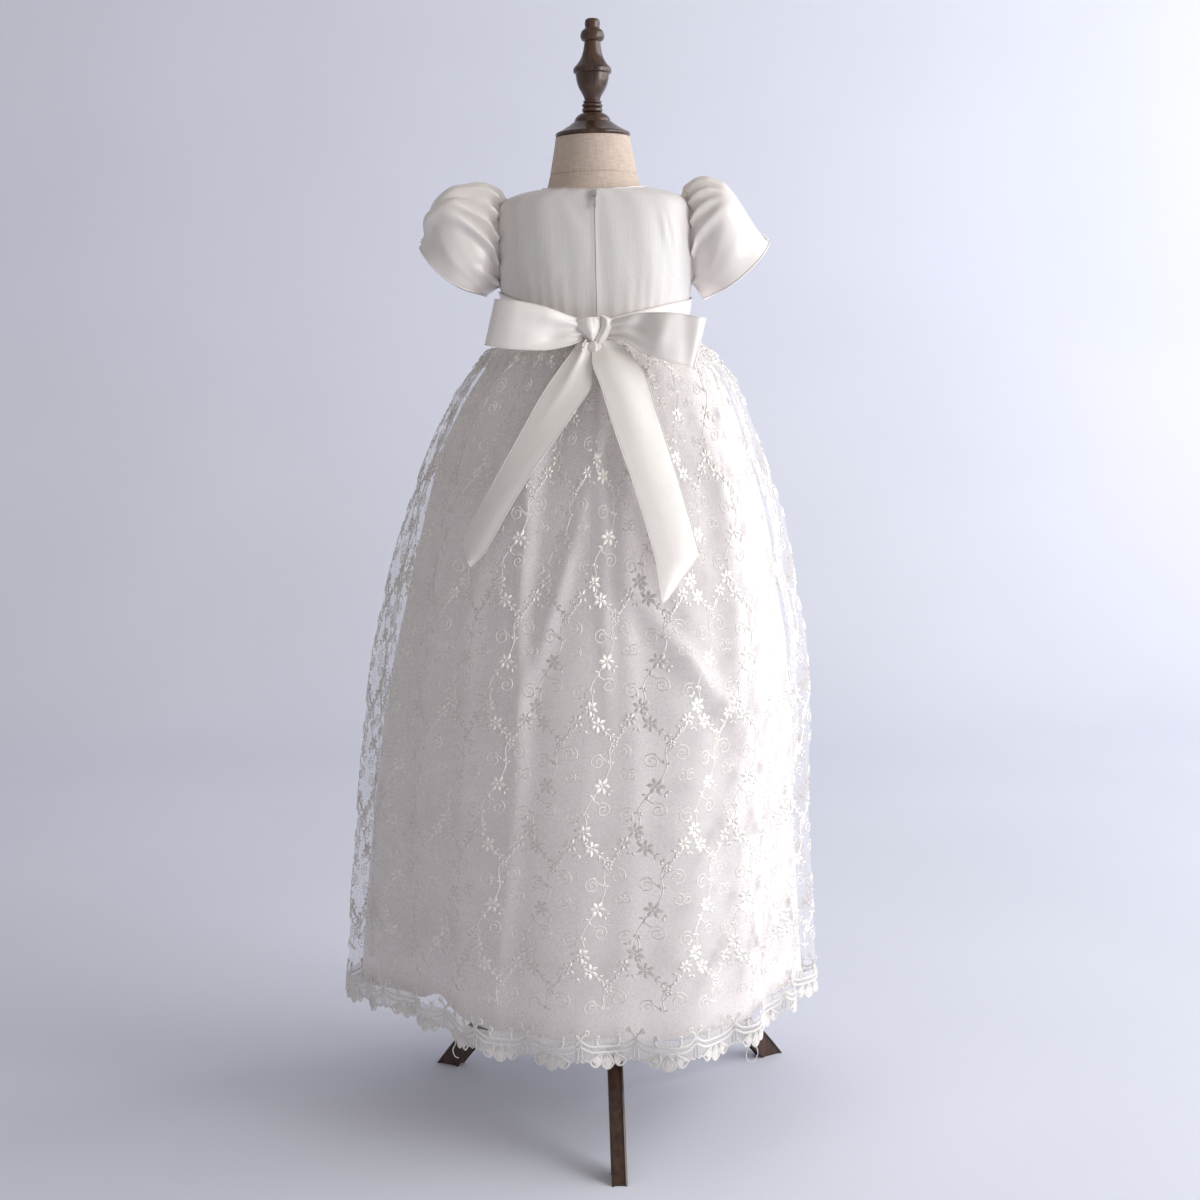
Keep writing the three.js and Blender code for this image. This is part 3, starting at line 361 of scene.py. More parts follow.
def unit(vectors):
    return vectors / np.maximum(np.linalg.norm(vectors, axis=-1, keepdims=True), 1e-9)


def length_along(path):
    return np.concatenate([[0], np.cumsum(np.linalg.norm(np.diff(path, axis=0), axis=1))])


def outward(place, centre):
    kept, shift = np.array(centre, float)
    return place - (place * kept + shift)


def oval(angle, square, skew=0.0):
    across, deep = cosd(angle), sind(angle)
    reach = (np.abs(across) ** square + np.abs(deep) ** square) ** (-1 / square)
    return across * reach, sind(angle + skew) * reach


# Surfaces of the garment
def bodice_surface(angle, z):
    angle, z = np.broadcast_arrays(angle, z)
    x, y = oval(angle, 2.5)
    dip = np.where(y < 0, 4.0, 18.0) * BODICE_DIP(z) * np.abs(sind(angle)) ** 3
    return np.stack([x * BODICE_HALF(z), y * BODICE_DEEP(z), z - dip], -1)


def hem_share(z):
    return np.clip((WAIST_Z - z) / (WAIST_Z - HEM_Z), 0, 1)


def fold_wave(angle, count):
    turn = np.radians(angle)
    return np.cos(count * turn + 0.7 * np.sin(3 * turn + 0.6)) * (0.8 + 0.2 * np.cos(5 * turn))


def skirt_ring(angle, z, share, out):
    turn, down = wrap(angle), hem_share(z)
    x, y = oval(angle, 2.3 - 0.4 * down, SKIRT_SKEW(z))
    reach = out + down * DRAPE_OUT(turn) - share * SKIRT_INSET(z)
    left, right, near, far = SKIRT_LEFT(z), SKIRT_RIGHT(z), SKIRT_NEAR(z), SKIRT_FAR(z)
    return np.stack([
        (right - left) / 2 + x * (left + right) / 2 + reach * cosd(angle),
        (far - near) / 2 + y * (near + far) / 2 + reach * sind(angle),
        z + down**3 * DRAPE_LIFT(turn),
    ], -1)


def overlay_surface(angle, z):
    angle, z = np.broadcast_arrays(angle, z)
    folds = SKIRT_FOLD(z) * fold_wave(angle, 16)
    turn = np.radians(angle)
    wave = np.cos(GATHERS["count"] * turn + 1.6 * np.sin(5 * turn) + 0.9 * np.sin(11 * turn + 1))
    uneven = 0.7 + 0.3 * np.sin(7 * turn + 2) * np.cos(3 * turn)
    fade = np.exp(-(WAIST_Z - z) / GATHERS["fade"]) * rise(WAIST_Z, WAIST_Z - 10, z)
    fine = 0.25 * np.cos(33 * turn + 2 * np.sin(4 * turn)) * rise(WAIST_Z, 600, z)
    return skirt_ring(angle, z, 0, folds + GATHERS["height"] * wave * uneven * fade + fine)


def lining_surface(angle, z):
    angle, z = np.broadcast_arrays(angle, z)
    out = 0.45 * SKIRT_FOLD(z) * fold_wave(angle, 8)
    turn, room = wrap(angle), rise(0, 18, SKIRT_INSET(z))
    share = 1 - 0.4 * rise(0.3, 0.9, cosd(turn)) - 0.25 * rise(0.5, 1, -cosd(turn))
    for middle, width, height, top, bottom in LINING_FOLDS:
        off = wrap(turn - middle - 2.0 * np.sin(z / 70 + middle))
        along = rise(top + 8, top - 60, z) * rise(bottom - 30, bottom + 60, z + 30)
        out = out + height * along * mix(0.4, 1, rise(260, 540, z)) * room * crease(off, width, 0.8)
    for middle, level, lean, width, height, half in LINING_DRAWS:
        off = turn - middle - lean * (level - z) / 100
        out = out + height * room * hill(z - level, half) * crease(off, width, 0.8)
    point = skirt_ring(angle, z, share, out)
    raised = hill(turn + 134, 6.5) + 0.12 * fold_wave(angle + 40, 3)
    point[..., 2] += LINING_HEM["raised"] * hem_share(z) ** 6 * raised
    return point


def sleeve_surface(side):
    sign = -1.0 if side == "left" else 1.0
    top_x, top_z, low_x, low_z, deep = by_index(SLEEVE_RINGS[side])
    count = len(SLEEVE_RINGS[side])

    def seam(turn):
        grow = 1 + 1.1 / ARMHOLE["half"]
        angle = ARMHOLE["angle"] * grow * np.cos(turn)
        z = ARMHOLE["z"] + (ARMHOLE["half"] + 1.1) * np.sin(turn)
        place = bodice_surface(angle if sign > 0 else 180 - angle, z)
        return place * np.array([1.008, 1.008, 1.0])

    def ring(index, turn):
        top = np.stack([sign * top_x(index), 0 * index, top_z(index)], -1)
        low = np.stack([sign * low_x(index), 0 * index, low_z(index)], -1)
        place = mix(low, top, (0.5 + 0.5 * np.sin(turn))[..., None])
        across = unit(np.cross([0, sign, 0], top - low))
        belly = SLEEVE_BELLY[side] * (index + 1) / count
        place = place + across * (belly * np.cos(turn) ** 2)[..., None]
        place[..., 1] = deep(index) * np.cos(turn)
        return place

    def at(u, v):
        u, v = np.broadcast_arrays(u, v)
        turn = np.radians(u)
        index = np.clip(v - 1, 0, count - 1)
        return mix(seam(turn), ring(index, turn), np.clip(v, 0, 1)[..., None])

    return at


def along_normal(surface, u, v, centre, out):
    step = 0.25
    across = surface(u + step, v) - surface(u - step, v)
    up = surface(u, v + step) - surface(u, v - step)
    normal = unit(np.cross(across, up))
    place = surface(u, v)
    facing = np.sign(np.sum(normal * outward(place, centre), -1, keepdims=True))
    return place + normal * facing * np.asarray(out)[..., None]


# Looks
class Look:
    def __init__(self, name, colour, roughness, **fixed):
        self.material = bpy.data.materials.new(name)
        self.material.use_nodes = True
        self.tree = self.material.node_tree
        self.shader = self.tree.nodes["Principled BSDF"]
        self.shader.inputs["Base Color"].default_value = (*colour, 1)
        self.shader.inputs["Roughness"].default_value = roughness
        for name, value in fixed.items():
            self.shader.inputs[name.replace("_", " ").title().replace("Ior", "IOR")].default_value = value

    def node(self, kind, inputs=None, **settings):
        node = self.tree.nodes.new("ShaderNode" + kind)
        for name, value in settings.items():
            setattr(node, name, value)
        for name, value in (inputs or {}).items():
            if isinstance(value, bpy.types.NodeSocket):
                self.tree.links.new(value, node.inputs[name])
            else:
                node.inputs[name].default_value = value
        return node

    def place(self, scale, kind="UV"):
        where = self.node("TexCoord").outputs[kind]
        return self.node("Mapping", {"Vector": where, "Scale": scale}).outputs[0]

    def noise(self, scale, detail=3.0, rough=0.5, kind="UV"):
        where = self.place(scale, kind)
        inputs = {"Vector": where, "Scale": 1.0, "Detail": detail, "Roughness": rough}
        return self.node("TexNoise", inputs).outputs["Fac"]

    def wave(self, scale, direction, distort=0.0):
        where = self.place((scale, scale, scale))
        inputs = {"Vector": where, "Scale": 1.0, "Distortion": distort, "Detail": 1.0}
        return self.node("TexWave", inputs, bands_direction=direction).outputs["Fac"]

    def math(self, how, a, b):
        return self.node("Math", {0: a, 1: b}, operation=how).outputs[0]

    def tint(self, fac, low, high, colours):
        fit = self.node("MapRange", {"Value": fac, "From Min": low, "From Max": high}).outputs[0]
        blend = self.node("Mix", {"Factor": fit}, data_type="RGBA")
        blend.inputs[6].default_value = (*colours[0], 1)
        blend.inputs[7].default_value = (*colours[1], 1)
        self.tree.links.new(blend.outputs[2], self.shader.inputs["Base Color"])

    def rough(self, fac, low, high):
        fit = self.node("MapRange", {"Value": fac, "To Min": low, "To Max": high}).outputs[0]
        self.tree.links.new(fit, self.shader.inputs["Roughness"])

    def bump(self, height, strength, distance):
        inputs = {"Height": height, "Strength": strength, "Distance": distance}
        bump = self.node("Bump", inputs)
        if self.shader.inputs["Normal"].is_linked:
            self.tree.links.new(self.shader.inputs["Normal"].links[0].from_socket, bump.inputs["Normal"])
        self.tree.links.new(bump.outputs[0], self.shader.inputs["Normal"])


def grained(name, colour, roughness, grain, tints, span=None, bumps=(), **fixed):
    look = Look(name, colour, roughness, **fixed)
    main = look.noise(*grain)
    look.tint(main, *tints)
    if span:
        look.rough(main, *span)
    for strength, distance, *noise in bumps:
        look.bump(look.noise(*noise) if noise else main, strength, distance)
    return look.material


def satin_look(name, light, shade, roughness):
    return grained(
        name, light, roughness, ((26, 26, 26), 2), (0.3, 0.7, (shade, light)),
        (roughness - 0.04, roughness + 0.05),
        [(0.08, 0.0003, (2200, 300, 1), 2), (0.10, 0.004, (70, 45, 1), 2)],
        sheen_weight=0.08, sheen_roughness=0.5, anisotropic=0.35,
    )


def net_look(name, cover, hole):
    look = Look(name, (0.90, 0.88, 0.87), 0.6)
    cells = look.node(
        "TexVoronoi", {"Vector": look.place((hole, hole, hole)), "Scale": 1.0}, feature="DISTANCE_TO_EDGE"
    ).outputs["Distance"]
    thread = look.node(
        "MapRange", {"Value": cells, "From Min": 0.02, "From Max": 0.16, "To Min": 1.0, "To Max": 0.0}
    ).outputs[0]
    share = look.math("MINIMUM", look.math("ADD", look.math("MULTIPLY", thread, cover), cover * 0.28), 0.96)
    clear = look.node("BsdfTransparent", {"Color": (0.99, 0.99, 1.0, 1)})
    through = look.node("BsdfTranslucent", {"Color": (0.92, 0.92, 0.93, 1)})
    cloth = look.node("MixShader", {0: 0.5, 1: look.shader.outputs[0], 2: through.outputs[0]})
    both = look.node("MixShader", {0: share, 1: clear.outputs[0], 2: cloth.outputs[0]})
    look.tree.links.new(both.outputs[0], look.tree.nodes["Material Output"].inputs["Surface"])
    return look.material


def thread_look(name, light, shade, roughness, metallic):
    look = Look(name, light, roughness, metallic=metallic)
    twist = look.wave(1300, "DIAGONAL", 0.6)
    look.tint(look.noise((60, 60, 60), 2), 0.3, 0.7, (shade, light))
    look.bump(twist, 0.35, 0.0003)
    return look.material


def linen_look():
    look = Look("natural_linen", (0.60, 0.49, 0.41), 0.85, sheen_weight=0.2, sheen_roughness=0.6)
    warp = look.noise((1500, 60, 1), 3)
    weft = look.noise((60, 1500, 1), 3)
    weave = look.math("ADD", warp, weft)
    look.tint(weave, 0.8, 1.2, ((0.52, 0.415, 0.34), (0.70, 0.58, 0.49)))
    look.bump(weave, 0.35, 0.0006)
    look.bump(look.math("ADD", look.wave(900, "X"), look.wave(900, "Y")), 0.15, 0.0003)
    return look.material


DUPIONI = grained(
    "dupioni", (0.84, 0.81, 0.80), 0.45, ((900, 26, 1), 4, 0.7),
    (0.3, 0.72, ((0.72, 0.69, 0.675), (0.82, 0.79, 0.775))), (0.34, 0.5),
    [(0.22, 0.0006), (0.12, 0.0003, (2600, 160, 1), 2)], sheen_weight=0.1, sheen_roughness=0.4,
)
SATIN = satin_look("white_satin", (0.89, 0.85, 0.82), (0.85, 0.81, 0.78), 0.22)
LINING = satin_look("lining_satin", (0.93, 0.885, 0.865), (0.90, 0.855, 0.835), 0.36)
RIBBON = satin_look("ivory_ribbon", (0.925, 0.888, 0.85), (0.885, 0.848, 0.808), 0.28)
TULLE = net_look("tulle_net", 0.30, 900)
LACE_GROUND = net_look("lace_ground", 1.6, 1300)
SILK = thread_look("silk_thread", (0.97, 0.945, 0.90), (0.82, 0.79, 0.735), 0.36, 0.6)
CORDING = thread_look("lace_cording", (0.90, 0.87, 0.84), (0.84, 0.81, 0.78), 0.5, 0.0)
LINEN = linen_look()
WOOD = grained(
    "lacquered_walnut", (0.04, 0.02, 0.012), 0.34, ((160, 160, 9), 5, 0.6, "Object"),
    (0.32, 0.68, ((0.018, 0.008, 0.005), (0.095, 0.042, 0.022))), (0.28, 0.44), [(0.08, 0.0005)],
    coat_weight=0.4, coat_roughness=0.08,
)
NICKEL = grained(
    "nickel_plate", (0.7, 0.7, 0.71), 0.3, ((900, 900, 900), 3, 0.5, "Object"),
    (0.3, 0.7, ((0.60, 0.60, 0.61), (0.80, 0.80, 0.81))), (0.2, 0.38), [(0.05, 0.0002)], metallic=0.85,
)
CRYSTAL = grained(
    "cut_crystal", (0.86, 0.89, 0.95), 0.04, ((1400, 1400, 1400), 2, 0.5, "Object"),
    (0.35, 0.65, ((0.62, 0.66, 0.74), (0.95, 0.96, 1.0))), (0.02, 0.12),
    metallic=0.55, coat_weight=1.0, coat_roughness=0.02,
)
BACKDROP = grained(
    "paper_backdrop", (0.785, 0.81, 0.91), 0.95, ((2.0, 2.0, 2.0), 2, 0.5, "Object"),
    (0.3, 0.7, ((0.77, 0.795, 0.89), (0.80, 0.825, 0.92))), None,
    [(0.04, 0.001, (900, 900, 900), 2, 0.5, "Object")], specular_ior_level=0.1,
)


# Mesh building
def quads(rows, cols, loop):
    r, c = np.meshgrid(np.arange(rows - 1), np.arange(cols if loop else cols - 1), indexing="ij")
    n = (c + 1) % cols
    return np.stack([r * cols + c, r * cols + n, (r + 1) * cols + n, (r + 1) * cols + c], -1).reshape(-1, 4)


def add_mesh(name, points, faces, look, shade=True):
    mesh = bpy.data.meshes.new(name)
    mesh.from_pydata(points.tolist(), [], faces)
    mesh.polygons.foreach_set("use_smooth", np.full(len(mesh.polygons), shade))
    mesh.update()
    piece = bpy.data.objects.new(name, mesh)
    bpy.context.scene.collection.objects.link(piece)
    mesh.materials.append(look)
    return piece


class Shape:
    def __init__(self):
        self.points, self.faces, self.uvs, self.count = [], [], [], 0

    def add(self, points, faces, uv):
        points, faces = np.asarray(points, float).reshape(-1, 3), np.asarray(faces)
        self.faces.extend((faces + self.count).tolist())
        self.points.append(points)
        self.uvs.append(np.asarray(uv, float).reshape(-1, 2))
        self.count += len(points)

    def grid(self, points, loop=False, flip=False, uv=None):
        faces = quads(*points.shape[:2], loop)
        self.add(points, faces[:, ::-1] if flip else faces, cloth_uv(points) if uv is None else uv)

    def shell(self, outer, thickness, centre, loop=False):
        rows, cols = outer.shape[:2]
        normal = grid_normals(outer, loop)
        flip = np.mean(np.sum(normal * outward(outer, centre), -1)) < 0
        inner = outer - normal * (-thickness if flip else thickness)
        points = np.concatenate([outer.reshape(-1, 3), inner.reshape(-1, 3)])
        half = rows * cols
        top = quads(rows, cols, loop)
        faces = [top, top[:, ::-1] + half]
        spans = np.arange(cols if loop else cols - 1)
        for row, turn in ((0, 1), (rows - 1, -1)):
            a, b = row * cols + spans, row * cols + (spans + 1) % cols
            faces.append(np.stack([b, a, a + half, b + half], -1)[:, ::turn])
        if not loop:
            spans = np.arange(rows - 1)
            for column, turn in ((0, 1), (cols - 1, -1)):
                a, b = spans * cols + column, (spans + 1) * cols + column
                faces.append(np.stack([a, b, b + half, a + half], -1)[:, ::turn])
        faces = np.concatenate(faces)
        uv = cloth_uv(outer).reshape(-1, 2)
        self.add(points, faces[:, ::-1] if flip else faces, np.concatenate([uv, uv]))

    def tube(self, path, radius, sides=6, closed=False):
        path = np.asarray(path, float)
        ahead = np.roll(path, -1, 0) - np.roll(path, 1, 0) if closed else np.gradient(path, axis=0)
        ahead = unit(ahead)
        side = unit(np.cross(ahead, [0.13, 0.21, 0.97]))
        up = np.cross(side, ahead)
        turn = np.linspace(0, 2 * np.pi, sides, endpoint=False)[None, :, None]
        size = np.broadcast_to(np.asarray(radius, float), (len(path),))[:, None, None]
        rings = path[:, None] + size * (np.cos(turn) * side[:, None] + np.sin(turn) * up[:, None])
        if closed:
            rings = np.concatenate([rings, rings[:1]])
        self.grid(rings, loop=True)

    def make(self, name, look, nodes=(), shade=True):
        piece = add_mesh(name, (np.concatenate(self.points) + AXIS) * MM, self.faces, look, shade)
        corner = np.empty(len(piece.data.loops), np.int32)
        piece.data.loops.foreach_get("vertex_index", corner)
        layer = piece.data.uv_layers.new(name="cloth")
        layer.data.foreach_set("uv", np.concatenate(self.uvs)[corner].astype(np.float32).ravel())
        if nodes:
            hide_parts(*nodes)
        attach(piece, BODY)
        return piece


def grid_normals(points, loop=False):
    if loop:
        across = np.roll(points, -1, 1) - np.roll(points, 1, 1)
    else:
        across = np.gradient(points, axis=1)
    return unit(np.cross(across, np.gradient(points, axis=0)))


def cloth_uv(points):
    rows, cols = points.shape[:2]
    across, up = length_along(points[rows // 2]), length_along(points[:, cols // 2])
    return np.stack(np.meshgrid(across * MM, up * MM), -1)


def sharpen(piece, angle):
    piece.data.set_sharp_from_angle(angle=np.radians(angle))


# Skirt: satin lining and tulle overlay
def panel_angles(span, per_degree):
    steps = int((span[1] - span[0]) * per_degree)
    return np.linspace(span[0] + PANEL_GAP, span[1] - PANEL_GAP, steps + 1)


def add_lining():
    t = np.linspace(0, 1, 76)[:, None] ** 1.15
    z = mix(LINING_TOP_Z, LINING_HEM["z"], t)
    flats = dict.fromkeys(PANELS, (0.32, 0.60, 0.15)) | {"front": (0.62, 0.60, 0.30)}
    for name, span in PANELS.items():
        angle = panel_angles(span, 1.3)[None]
        shape = Shape()
        shape.shell(lining_surface(angle, z), 0.6, BODY_CENTRE)
        piece = shape.make(f"lining_{name}", LINING, [f"skirt_lining_{name}"])
        sharpen(piece, 60)


def lace_edge(angle):
    place = (angle * REPEATS / 360 + MOTIF["phase"] / MOTIF["width"]) % 1
    fan = np.abs(place - 0.5) * 2
    return 98.6 + 2.4 * rise(0.3, 0.8, fan) - 0.8 * np.abs(np.sin(place * np.pi * 9))


def add_overlay():
    t = np.linspace(0, 1, 110)[:, None] ** 1.25
    z = mix(OVERLAY_TOP_Z, LACE_TOP_Z + 0.2, t)
    flats = dict.fromkeys(PANELS, (0.35, 0.60, 0.165)) | {"front": (0.68, 0.60, 0.33)}
    for name, span in PANELS.items():
        angle = panel_angles(span, 1.7)[None]
        shape = Shape()
        shape.grid(overlay_surface(angle, z), flip=True)
        piece = shape.make(f"overlay_{name}", TULLE, [f"skirt_overlay_{name}"])
        threads = add_embroidery(name, span)


# Embroidery, one repeat at a time, in millimetres across and up
def petal(x, y, turn, length, width):
    ring = np.array([
        (0, 0.5), (-0.5, 0.14), (-0.42, -0.2), (0, -0.5), (0.42, -0.2), (0.5, 0.14), (0, 0.2), (0, -0.18),
    ]) * (width, length)
    placed = np.stack(spun(ring[:, 0], ring[:, 1], turn), -1) + (x, y)
    high = np.array([0.12] * 6 + [1.0] * 2)
    faces = [(0, 1, 6), (1, 2, 7), (1, 7, 6), (2, 3, 7), (3, 4, 7), (4, 5, 6), (4, 6, 7), (5, 0, 6)]
    return placed, high, np.array(faces), ring[:, ::-1]


def strand(path, width, height):
    path = np.asarray(path, float)
    ahead = unit(np.gradient(path, axis=0))
    side = np.stack([-ahead[:, 1], ahead[:, 0]], -1) * width / 2
    placed = np.stack([path + side, path, path - side], 1).reshape(-1, 2)
    high = np.tile([0.1, height, 0.1], len(path))
    a = np.arange(len(path) - 1)[:, None] * 3
    faces = np.concatenate([a + [0, 1, 3], a + [1, 4, 3], a + [1, 2, 4], a + [2, 5, 4]])[:, ::-1]
    uv = np.stack([np.tile([0, 0.5, 1], len(path)) * width, np.repeat(length_along(path), 3)], -1)
    return placed, high, faces, uv


def curve(points, steps):
    points = np.asarray(points, float)
    along = np.arange(len(points))
    fine = np.linspace(0, len(points) - 1, (len(points) - 1) * steps + 1)
    padded = np.concatenate([[2 * points[0] - points[1]], points, [2 * points[-1] - points[-2]]])
    i = np.minimum(fine.astype(int), len(points) - 2)
    t = (fine - along[i])[:, None]
    p0, p1, p2, p3 = padded[i], padded[i + 1], padded[i + 2], padded[i + 3]
    return 0.5 * (2 * p1 + (p2 - p0) * t + (2 * p0 - 5 * p1 + 4 * p2 - p3) * t**2
                  + (3 * p1 - p0 - 3 * p2 + p3) * t**3)


def spiral(x, y, radius, start, turns, steps=26):
    t = np.linspace(0, 1, steps)
    angle = np.radians(start) + np.sign(turns) * t * abs(turns) * 2 * np.pi
    size = radius * (1 - t) ** 0.8 + 0.6
    return np.stack([x + size * np.cos(angle), y + size * np.sin(angle)], -1)


def daisy(x, y, size, turn, petals):
    parts = []
    for i in range(petals):
        angle = turn + i * 360 / petals
        across, up = spun(0, size * 0.29, angle)
        parts.append(petal(x + across, y + up, angle, size * (0.5 if i % 2 else 0.46), size * 0.25))
    for i in range(3):
        parts.append(petal(x, y, turn + 20 + i * 60, size * 0.16, size * 0.1))
    return parts


def leaves(x, y, turn):
    parts = []
    for angle in (turn + 48, turn - 48):
        across, up = spun(0, 2.75, angle)
        parts.append(petal(x + across, y + up, angle, 5.5, 2.3))
    return parts


def flower_motif():
    parts = []
    for flower in DAISIES:
        parts += daisy(*flower)
    for pair in LEAVES:
        parts += leaves(*pair)
    for points, steps in STEMS:
        parts.append(strand(curve(points, steps), THREAD["width"], THREAD["height"]))
    for curl in CURLS:
        parts.append(strand(spiral(*curl), THREAD["width"] * 0.85, THREAD["height"]))
    return parts


def cloth_height():
    z = np.linspace(OVERLAY_TOP_Z, HEM_Z, 400)
    length = length_along((overlay_surface(-100.0, z) + overlay_surface(-40.0, z)) / 2)
    up = length[-1] - length
    return smooth(up[::-4], z[::-4])


def merged(parts):
    placed, high, faces, uv = zip(*parts)
    firsts = np.cumsum([0] + [len(points) for points in placed[:-1]])
    faces = [triangles + first for triangles, first in zip(faces, firsts)]
    return [np.concatenate(rows) for rows in (placed, high, faces, uv)]


def stitched(shape, parts, span, starts, lift, to_z, lowest, squeeze=1.0):
    points, high, faces, uv = merged(parts)
    degree = 360 / REPEATS / MOTIF["width"]
    for across, up in starts:
        angle = (points[:, 0] + across) * degree
        z = to_z(points[:, 1] * squeeze + up)
        inside = (angle > span[0] + 0.1) & (angle < span[1] - 0.1) & (z > lowest) & (z < THREADS_TOP_Z)
        keep = faces[inside[faces].all(axis=1)]
        if len(keep):
            used, index = np.unique(keep, return_inverse=True)
            placed = along_normal(overlay_surface, angle[used], z[used], BODY_CENTRE, high[used] + lift)
            shape.add(placed, index.reshape(-1, 3), uv[used] * MM)


def repeat_starts(span, extra):
    first = int(np.floor(span[0] * REPEATS / 360))
    count = int(round((span[1] - span[0]) * REPEATS / 360))
    return [(first + i) * MOTIF["width"] - MOTIF["phase"] for i in range(-1, count + extra)]


def add_embroidery(name, span):
    starts = [
        (across, MOTIF["first"] + row * MOTIF["tall"])
        for across in repeat_starts(span, 1) for row in range(MOTIF["rows"])
    ]
    shape = Shape()
    squeeze = MOTIF["tall"] / MOTIF["height"]
    stitched(shape, flower_motif(), span, starts, 0.6, cloth_height(), LACE_TOP_Z + 24, squeeze)
    return shape.make(f"embroidery_{name}", SILK)


def fan_loop(x, tip, lean, half, foot):
    middle = x + lean * 0.2
    return [
        (x - lean, 105.4), (middle - half, tip + 6.0), (middle - 0.62 * half, foot + 1.4), (middle, foot),
        (middle + 0.62 * half, foot + 1.4), (middle + half, tip + 6.0), (x - lean, 105.4),
    ]


def lace_motif():
    parts = []
    for side in (-1, 1):
        for points, steps, width in LACE_LINES:
            parts.append(strand(curve(points, steps) * (side, 1), width, CORD_HEIGHT))
        for x, z, radius, width in LACE_CURLS:
            parts.append(strand(spiral(side * x, z, radius, 200, side * 1.2, 14), width, CORD_HEIGHT))
        for x, tip, lean, half in FANS[side]:
            parts.append(petal(side * (x - lean * 0.4), (tip + 104) / 2, 0, 104 - tip, half * 1.7))
            for share, width in ((1.0, 1.7), (0.42, 1.1)):
                ring = fan_loop(x, tip, lean, half * share, tip + 0.5 + 5 * (1 - share))
                parts.append(strand(curve(ring, 4) * (side, 1), width, CORD_HEIGHT))
    return parts


def add_lace():
    flats = dict.fromkeys(PANELS, (0.31, 0.022)) | {"front": (0.61, 0.022)}
    for name, span in PANELS.items():
        angle = panel_angles(span, 4.0)[None]
        t = np.linspace(0, 1, 7)[:, None]
        z = mix(LACE_TOP_Z, lace_edge(angle), t)
        shape = Shape()
        shape.grid(overlay_surface(angle, z), flip=True)
        piece = shape.make(f"lace_{name}", LACE_GROUND, [f"hem_lace_{name}"])
        cords = Shape()
        starts = [(across, 0) for across in repeat_starts(span, 2)]
        stitched(cords, lace_motif(), span, starts, 0.4, lambda z: z, 90)
        if LOOSE_THREADS[name]:
            cords.tube(curve(LOOSE_THREADS[name], 6), 0.45)
        edging = cords.make(f"lace_cord_{name}", CORDING)


# Bodice
def pucker(angle, z):
    turn = np.radians(angle)
    waist = np.exp(-(z - WAIST_Z) / 24)
    gathers = 0.8 * waist * np.cos(44 * turn + 2.2 * np.sin(6 * turn))
    chest = 0.35 * np.cos(19 * turn + z / 30) * rise(720, 780, z)
    arm = 0.0
    for centre, tilt in ((-37, 0.20), (-43, 0.16), (-49, 0.12)):
        arm = arm + hill(angle - centre + tilt * (z - 800), 2.2) * hill(z - 806, 16)
    neck = 0.9 * hill(angle + 104 + 0.25 * (z - 838), 4) * hill(z - 826, 14)
    return gathers + chest + arm - neck


def bodice_skin(angle, z, out=0.0):
    return along_normal(bodice_surface, angle, z, BODY_CENTRE, pucker(angle, z) * 0.8 + out)


def armhole_angle(z):
    up = np.clip(np.abs(z - ARMHOLE["z"]) / ARMHOLE["half"], 0, 1)
    return ARMHOLE["angle"] * np.sqrt(1 - up**2)


def bodice_heights():
    low = ARMHOLE["z"] - ARMHOLE["half"]
    turn = np.linspace(-np.pi / 2, np.pi / 2, 44)
    arm = ARMHOLE["z"] + ARMHOLE["half"] * np.sin(turn)
    top = np.array([838, 839.5, 841, 842.2, 843.4, 844.3, NECKLINE_Z])
    return np.concatenate([np.linspace(712.2, low - 3, 22), arm, top])


def add_bodice():
    z = bodice_heights()[:, None]
    arm, gap = armhole_angle(z), 0.18
    panels = {
        "front": (0.1 + arm, 179.9 - arm, 150, 0.255),
        "back_right": (-90 + gap, -0.1 - arm, 84, 0.13),
        "back_left": (-179.9 + arm, -90 - gap, 84, 0.13),
    }
    for name, (start, end, steps, width) in panels.items():
        t = np.linspace(0, 1, steps)[None]
        angle = mix(start, end, t)
        lip = 0 if name == "front" else 0.5 * hill((t if name == "back_right" else 1 - t) * 80, 1.6)
        shape = Shape()
        shape.shell(bodice_skin(angle, z, lip), 0.9, BODY_CENTRE)
        shape.tube(bodice_skin(angle[-1], z[-1] - 0.4, 0.1), 0.75)
        piece = shape.make(f"bodice_cloth_{name}", DUPIONI, [f"bodice_{name}"])
        sharpen(piece, 60)


def add_sleeves():
    for side in ("left", "right"):
        surface = sleeve_surface(side)
        sign = -1 if side == "left" else 1
        u = np.linspace(0, 360, 150, endpoint=False)[None]
        v = np.linspace(0.02, 7, 60)[:, None]
        share = v / 7
        out = 0
        for middle, width, height, drift, reach in SLEEVE_FOLDS[side]:
            spread = 0.62 * width * (1 + 1.6 * share)
            fade = hill(share, reach) * rise(0, 0.05, share)
            out = out + 2.2 * height * fade * crease(wrap(u - middle - drift * share), spread, 0.7)
        out = out + 3.5 * hill(share - 0.16, 0.11) * (0.6 + 0.4 * sind(u))
        out = out + 0.9 * cosd(u * 5 + 40) * rise(0.75, 1, share)
        middle = np.array([sign * 110.0, 0, ARMHOLE["z"]])
        centre = ((0, 0, 0), middle)
        grid = along_normal(surface, u, v, centre, out)
        shape = Shape()
        shape.shell(grid, 0.8, centre, loop=True)
        shape.tube(grid[-1], 0.8, closed=True)
        shape.tube(grid[0], 0.6, closed=True)
        piece = shape.make(f"puff_sleeve_{side}", SATIN, [f"sleeve_{side}"])
        add_rhinestones(side, surface, middle)


